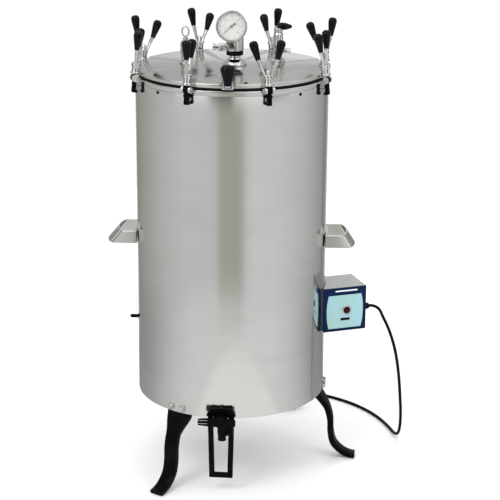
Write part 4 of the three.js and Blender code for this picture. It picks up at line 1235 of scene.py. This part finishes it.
def safety_valve():
    place = shift(*SAFETY, LID_TOP + SEAT_GAP)
    lower = joined(turned([(3.9, 0, 0.3), (13, 0, 0.8), (13, 3, 0.8), (9, 4, 0.5), (9, 9), (3.9, 9)], 40),
                   hexagon(17, 4, 11))
    piece("safety_base", lower, CHROME, "safety_valve_body", place, body="lid", sharp=30)
    bonnet = turned([(3.9, 11), (8.8, 11, 0.5), (8.8, 19, 1), (10.9, 22, 1), (10.9, 40, 1.5), (8, 46.8, 2),
                     (3.9, 47.8, 0.5)], 40)
    slots = [placed(block(5, 14, -1.6, 1.6, 25, 37), turn(60 * k)) for k in range(6)]
    piece("safety_bonnet", bonnet, CHROME, place=place, body="lid", cuts=[joined(*slots)], sharp=35)
    angles = [math.pi * k / 8 for k in range(113)]
    spring = [(6.3 * math.cos(a), 6.3 * math.sin(a), 22 + 20 * k / 112) for k, a in enumerate(angles)]
    piece("safety_spring", swept(spring, 0.8, 8), ZINC, place=place, body="lid", sharp=60)
    spindle = turned([(0, 4.2), (3.3, 4.2), (3.3, 49), (6, 49, 0.5), (6, 53, 0.5), (3.3, 53.2),
                      (3.3, 57.6, 0.8), (0, 57.6)], 28)
    loop = swept([(0.7 * x, 0, 66 + y) for x, y in circle(10, 40)], 1.75, 12, True, (0, 1, 0))
    piece("safety_spindle", spindle, CHROME, "safety_valve_ring", place, body="safety_ring", sharp=40)
    piece("safety_pull_ring", loop, CHROME, place=place, body="safety_ring", sharp=60)


def release_valve():
    place = shift(*RELEASE, LID_TOP + SEAT_GAP)
    body = turned([(3.5, 9), (8, 9), (8, 33, 1.5), (10, 38, 1.5), (10, 61, 1), (8, 65, 1), (3.5, 65, 0.3)],
                  40)
    piece("release_body", joined(hexagon(24.5, 0, 11), body), CHROME, "release_valve_body", place,
          body="lid", sharp=30)
    nozzle = turned([(0, 6), (4.9, 6), (4.9, 18, 0.5), (5.3, 20, 0.4), (4.4, 22, 0.4), (5.3, 24, 0.4),
                     (4.4, 26, 0.4), (0, 26)], 28)
    piece("release_nozzle", nozzle, CHROME, place=place @ shift(0, 0, 27) @ LYING_X, body="lid", sharp=30)
    top = shift(*RELEASE, RELEASE_SPINDLE_Z) @ turn(RELEASE_TURN)
    cap = turned([(0, -30), (2.9, -30), (2.9, -6), (9, -6, 0.6), (9, 2, 1), (7.5, 3, 0.6), (0, 3)], 36)
    piece("release_cap", cap, CHROME, "release_valve_lever", top, body="release_lever", sharp=40)
    grip = turned([(0, -2), (5.8, -2, 1.5), (7.9, 6, 5), (7, 16, 8), (3.4, 27, 4), (0, 28.8)], 36, 6)
    piece("release_grip", grip, PHENOLIC, place=top @ shift(0, 0, 6) @ LYING_X, body="release_lever",
          sharp=60)


safety_valve()
release_valve()


# ---- Control box ----

BOX_STATION = shift(*BOX_CORNER) @ turn(BOX_HEADING)
BOX_HALF = BOX_WIDTH / 2
LAMP_HOLE = placed(rod(8.4, -9, 9, 40), shift(LAMP_X, 0, LAMP_Z) @ FACING_FRONT)
SWITCH_HOLE = block(SWITCH_X - 10.4, SWITCH_X + 10.4, -5, 10, SWITCH_Z - 2.9, SWITCH_Z + 2.9)


def shell_cut():
    """The vessel's round side, as a cut in the back of the box."""
    centre = turn(-BOX_HEADING) @ Vector((-BOX_CORNER[0], -BOX_CORNER[1], 0))
    return placed(rod(SHELL_R + 0.7, -20, BOX_HEIGHT + 20, 192), shift(centre.x, centre.y, 0))


def box_hollow(back):
    return block(BOX_WALL - BOX_HALF, BOX_HALF - BOX_WALL, -5, back, BOX_WALL, BOX_HEIGHT - BOX_WALL)


def box_shell():
    shell = block(0.3 - BOX_HALF, BOX_HALF, 2.4, BOX_DEPTH, 0, BOX_HEIGHT)
    hole = placed(rod(6, BOX_HALF - 9, BOX_HALF + 9, 32), shift(0, GLAND_Y, GLAND_Z) @ LYING_X)
    piece("box_shell", shell, HAMMERED, "control_box", BOX_STATION, 1.3,
          cuts=[box_hollow(BOX_DEPTH - BOX_WALL), shell_cut(), hole], steps=3)
    rim = block(-BOX_HALF, BOX_HALF, 0, 4, 0, BOX_HEIGHT)
    piece("box_front_rim", rim, NAVY, place=BOX_STATION, bevel=0.9, cuts=[box_hollow(9)],
          steps=3)


def box_panel():
    """A dark plate with a pale field whose sides bulge, and a plain strip above it."""
    plate = block(2.2 - BOX_HALF, BOX_HALF - 2.2, 1.2, 3.4, 2.2, BOX_HEIGHT - 2.2)
    piece("panel_plate", plate, NAVY, "control_panel", BOX_STATION, 0.3, cuts=[LAMP_HOLE, SWITCH_HOLE])
    left = [(-36.5, 6.5, 0), (-39.8, 22, 0), (-41.2, 42, 0), (-40.4, 62, 0), (-37.2, 80, 0)]
    right = [(-x, y, 0) for x, y, _ in left[::-1]]
    field = [(p.x, p.y) for side in (left, right) for p in smooth_line(side, 16)]
    on_front = shift(0, 1.2, 0) @ FACING_FRONT
    piece("panel_field", placed(prism(field, 0, 0.5), on_front), AQUA, place=BOX_STATION,
          sharp=30, cuts=[LAMP_HOLE, SWITCH_HOLE])
    strip = prism([(-22, 87.8, 1), (28, 87.8, 1), (28, 90.8, 1), (-22, 90.8, 1)], 0, 0.4)
    piece("panel_strip", placed(strip, on_front), PALE_STRIP, place=BOX_STATION, sharp=30)


def box_side():
    """The dark field and the pale stripe printed on the box's left side."""
    on_side = Matrix(((0, 0, -1, 0.29 - BOX_HALF), (1, 0, 0, 0), (0, 1, 0, 0), (0, 0, 0, 1)))
    low, high = 4, BOX_HEIGHT - 4
    prints = (("side_field", 4.6, 50, 0.2, NAVY), ("side_stripe", 7.5, 11, 0.28, PALE_BLUE))
    for name, y0, y1, rise, film_finish in prints:
        sheet = prism([(y0, low, 1), (y1, low, 1), (y1, high, 1), (y0, high, 1)], 0, rise)
        piece(name, placed(sheet, on_side), film_finish, place=BOX_STATION, sharp=30, cuts=[shell_cut()])


def box_fittings():
    lamp = BOX_STATION @ shift(LAMP_X, 0, LAMP_Z) @ FACING_FRONT
    bezel = turned([(7.6, -0.9, 0.2), (11, -0.9, 0.2), (11, 0.2, 0.5), (9.6, 1, 0.4), (7.8, 1, 0.3),
                    (7.6, 0.2)], 48)
    piece("lamp_bezel", bezel, CHROME, place=lamp)
    lens = turned([(0, -13.8), (7.5, -13.8), (7.5, 1.6, 1.4), (5.6, 4.6, 1.6), (0, 5.9)], 40)
    piece("lamp_lens", lens, LENS_RED, "pilot_lamp", lamp)
    along_x = Matrix(((0, 0, 1, 0), (-1, 0, 0, 0), (0, 1, 0, 0), (0, 0, 0, 1)))
    rocker = prism([(-1.7, -2.5, 0.6), (1.4, -2.5, 0.6), (1.75, 0, 2), (1.4, 2.5, 0.6), (-1.7, 2.5, 0.6)],
                   -9.9, 9.9)
    across = shift(SWITCH_X, 1.5, SWITCH_Z) @ turn(SWITCH_LEAN, "X") @ along_x
    piece("switch_rocker", placed(rocker, across), MOULDED, "power_switch", BOX_STATION, 0.35,
          body="switch")
    sleeve = turned([(4.6, 53.5), (7, 53.5), (7, 58, 0.8), (6, 62, 1), (3.7, 62, 0.3), (3.7, 53.5)], 32)
    nut = placed(joined(hexagon(17, 48.2, 54), sleeve), shift(0, GLAND_Y, GLAND_Z) @ LYING_X)
    piece("gland_nut", nut, MOULDED, "cable_gland", BOX_STATION, sharp=30)


box_shell()
box_panel()
box_side()
box_fittings()


# ---- Studio: a pale floor, soft light and a tent that only reflections see ----

def ramp(nodes, stops, share):
    """Grey levels or colours by angle, from -180 to 180 degrees as share goes from 0 to 1."""
    node = nodes.node("ShaderNodeValToRGB")
    elements = node.color_ramp.elements
    elements.remove(elements[-1])
    for i, (at, value) in enumerate(stops):
        position = (at + 180) / 360
        element = elements[0] if i == 0 else elements.new(position)
        element.position = position
        element.color = (value, value, value, 1) if isinstance(value, float) else (*value, 1)
    nodes.feed(share, node.inputs["Fac"])
    return node.outputs["Color"]


# Brightness, or colour, by angle round the tent from the middle of the view.
LOW_LIGHT = [(-180, 1.0), (-156, 0.9), (-149, 0.3), (-141, 0.32), (-128, (0.4, 0.41, 0.36)),
             (-105, (0.51, 0.52, 0.475)), (-80, 0.64), (-52, 0.72), (-24, 0.71), (-17, 0.67),
             (-12, (0.5, 0.505, 0.44)), (7, (0.47, 0.475, 0.41)), (11, 0.54), (16, 0.72), (24, 0.8),
             (46, 0.79), (67, 0.73), (88, 0.64), (107, 0.53), (124, 0.42), (131, 0.36), (135, 0.25),
             (144, 0.33), (151, 0.5), (158, 0.95), (180, 1.0)]
FLOOR_LIGHT = [(-180, 1.0), (-156, 0.9), (-149, 0.3), (-141, 0.3), (-124, 0.36), (-102, 0.44), (-87, 0.55),
               (-75, 0.65), (-63, 0.73), (-50, 0.81), (-35, 0.85), (0, 0.85), (14, 0.88), (43, 0.87),
               (53, 0.83), (63, 0.775), (73, 0.71), (85, 0.6), (99, 0.46), (111, 0.37), (131, 0.33),
               (135, 0.25), (144, 0.33), (151, 0.5), (158, 0.95), (180, 1.0)]
HIGH_LIGHT = [(-180, 0.47), (-160, 0.52), (-140, 0.5), (-112, 0.5), (-104, 0.12), (-88, 0.12), (-80, 1.0),
              (-40, 1.15), (-24, 0.95), (-14, 0.14), (8, 0.12), (18, 0.95), (50, 1.15), (84, 0.9),
              (92, 0.12), (106, 0.12), (114, 0.5), (140, 0.54), (160, 0.46), (180, 0.47)]
MIDDLE_LIGHT = [(-180, 0.9), (-150, 0.2), (-130, 0.95), (-100, 0.95), (-92, 0.06), (-70, 0.08), (-62, 1.2),
                (-30, 1.25), (-20, 0.08), (-2, 0.05), (6, 1.1), (34, 1.15), (42, 0.06), (62, 0.1),
                (70, 1.1), (110, 0.95), (120, 0.1), (146, 0.12), (158, 0.9), (180, 0.9)]
TOP_LIGHT = [(-180, 0.5), (-75, 0.6), (-60, 3.6), (-20, 4.2), (-8, 0.7), (25, 0.6), (40, 2.2), (60, 2.2),
             (75, 0.6), (180, 0.5)]
TENT_R, TENT_LOW, TENT_TOP = 1.25, 0.0012, 2.3
FLOOR_HALF = 14
BAND_EDGES = [(0.73, 0.79), (1.0, 1.06), (1.55, 1.75)]
PATCH_MIDDLE, PATCH_HALF = (0.05, -0.45), (0.33, 0.43)


def tent_light():
    """Light by direction round the vessel, in bands by height, with a bright patch on the floor in front."""
    m = Nodes("tent_light")
    m.tree.nodes.clear()
    split = m.node("ShaderNodeSeparateXYZ")
    m.feed(m.node("ShaderNodeTexCoord").outputs["Object"], split.inputs["Vector"])
    x, y, z = split.outputs
    angle = m.calc("ARCTAN2", x, m.calc("MULTIPLY", y, -1))
    share = m.calc("ADD", m.calc("DIVIDE", angle, 2 * math.pi), 0.5)
    bands = (LOW_LIGHT, FLOOR_LIGHT, MIDDLE_LIGHT, HIGH_LIGHT, TOP_LIGHT)
    low, near, *upper = [ramp(m, stops, share) for stops in bands]
    radius = m.calc("POWER", m.calc("ADD", m.calc("POWER", x, 2), m.calc("POWER", y, 2)), 0.5)
    nearness = m.calc("SUBTRACT", m.calc("SUBTRACT", TENT_R, radius), m.calc("MULTIPLY", z, 3.5))
    color = m.mix(m.levels(nearness, -0.5, 0.5, curve="SMOOTHSTEP"), low, near)
    offsets = [m.calc("POWER", m.calc("DIVIDE", m.calc("SUBTRACT", place, middle), half), 2)
               for place, middle, half in zip((x, y), PATCH_MIDDLE, PATCH_HALF)]
    inside = m.levels(m.calc("ADD", *offsets), 0.8, 1.1, 1.0, 0.0, "SMOOTHSTEP")
    on_floor = m.levels(z, 0.004, 0.012, 1.0, 0.0, "SMOOTHSTEP")
    color = m.mix(m.calc("MULTIPLY", inside, on_floor), color, (0.98, 0.98, 0.96, 1))
    for edges, band in zip(BAND_EDGES, upper):
        color = m.mix(m.levels(z, *edges, curve="SMOOTHSTEP"), color, band)
    glow = m.node("ShaderNodeEmission")
    m.feed(color, glow.inputs["Color"])
    m.feed(glow.outputs[0], m.node("ShaderNodeOutputMaterial").inputs["Surface"])
    return m.mat


def stage_mesh(name, shape, material):
    mesh = bpy.data.meshes.new(name)
    mesh.from_pydata(shape[0], [], shape[1])
    mesh.materials.append(material)
    return link(bpy.data.objects.new(name, mesh))


def tent():
    """A round wall and floor in metres that only reflections see."""
    rings = [level_ring(r, z, 96) for r, z in ((0, TENT_LOW), (TENT_R, TENT_LOW), (TENT_R, TENT_TOP))]
    obj = stage_mesh("tent", skinned(rings, caps=False), tent_light())
    obj.matrix_world = Matrix.Translation(AXIS * MM) @ turn(CAMERA_ANGLE)
    for kind in ("camera", "diffuse", "transmission", "volume_scatter", "shadow"):
        setattr(obj, f"visible_{kind}", False)


def floor():
    half = FLOOR_HALF
    corners = [(-half, -half, 0), (half, -half, 0), (half, half, 0), (-half, half, 0)]
    m = Maker("floor_paper", (0.86, 0.86, 0.86), 0.9)
    m.tint(m.noise(2, 2), 0.3, 0.7, (0.865, 0.865, 0.865), (0.855, 0.855, 0.857))
    stage_mesh("floor", (corners, [[0, 1, 2, 3]]), m.mat)


def area_light(name, place, target_z, size, power):
    data = bpy.data.lights.new(name, "AREA")
    data.shape = "DISK"
    data.size = size
    data.energy = power
    obj = link(bpy.data.objects.new(name, data))
    obj.location = place
    obj.rotation_euler = (Vector((0, 0, target_z)) - Vector(place)).to_track_quat("-Z", "Y").to_euler()
    obj.visible_camera = False


def studio():
    scene = bpy.context.scene
    scene.view_settings.view_transform = "Standard"
    world = bpy.data.worlds.new("studio")
    world.use_nodes = True
    background = world.node_tree.nodes["Background"]
    background.inputs["Color"].default_value = (1.0, 1.0, 1.0, 1)
    background.inputs["Strength"].default_value = 1.16
    scene.world = world
    floor()
    tent()
    area_light("key", (-1.5, -1.9, 2.9), 0.5, 1.4, 34)
    area_light("fill", (2.2, -1.4, 1.9), 0.5, 1.6, 12)
    area_light("back", (0.4, 2.4, 2.4), 0.6, 1.4, 16)


studio()
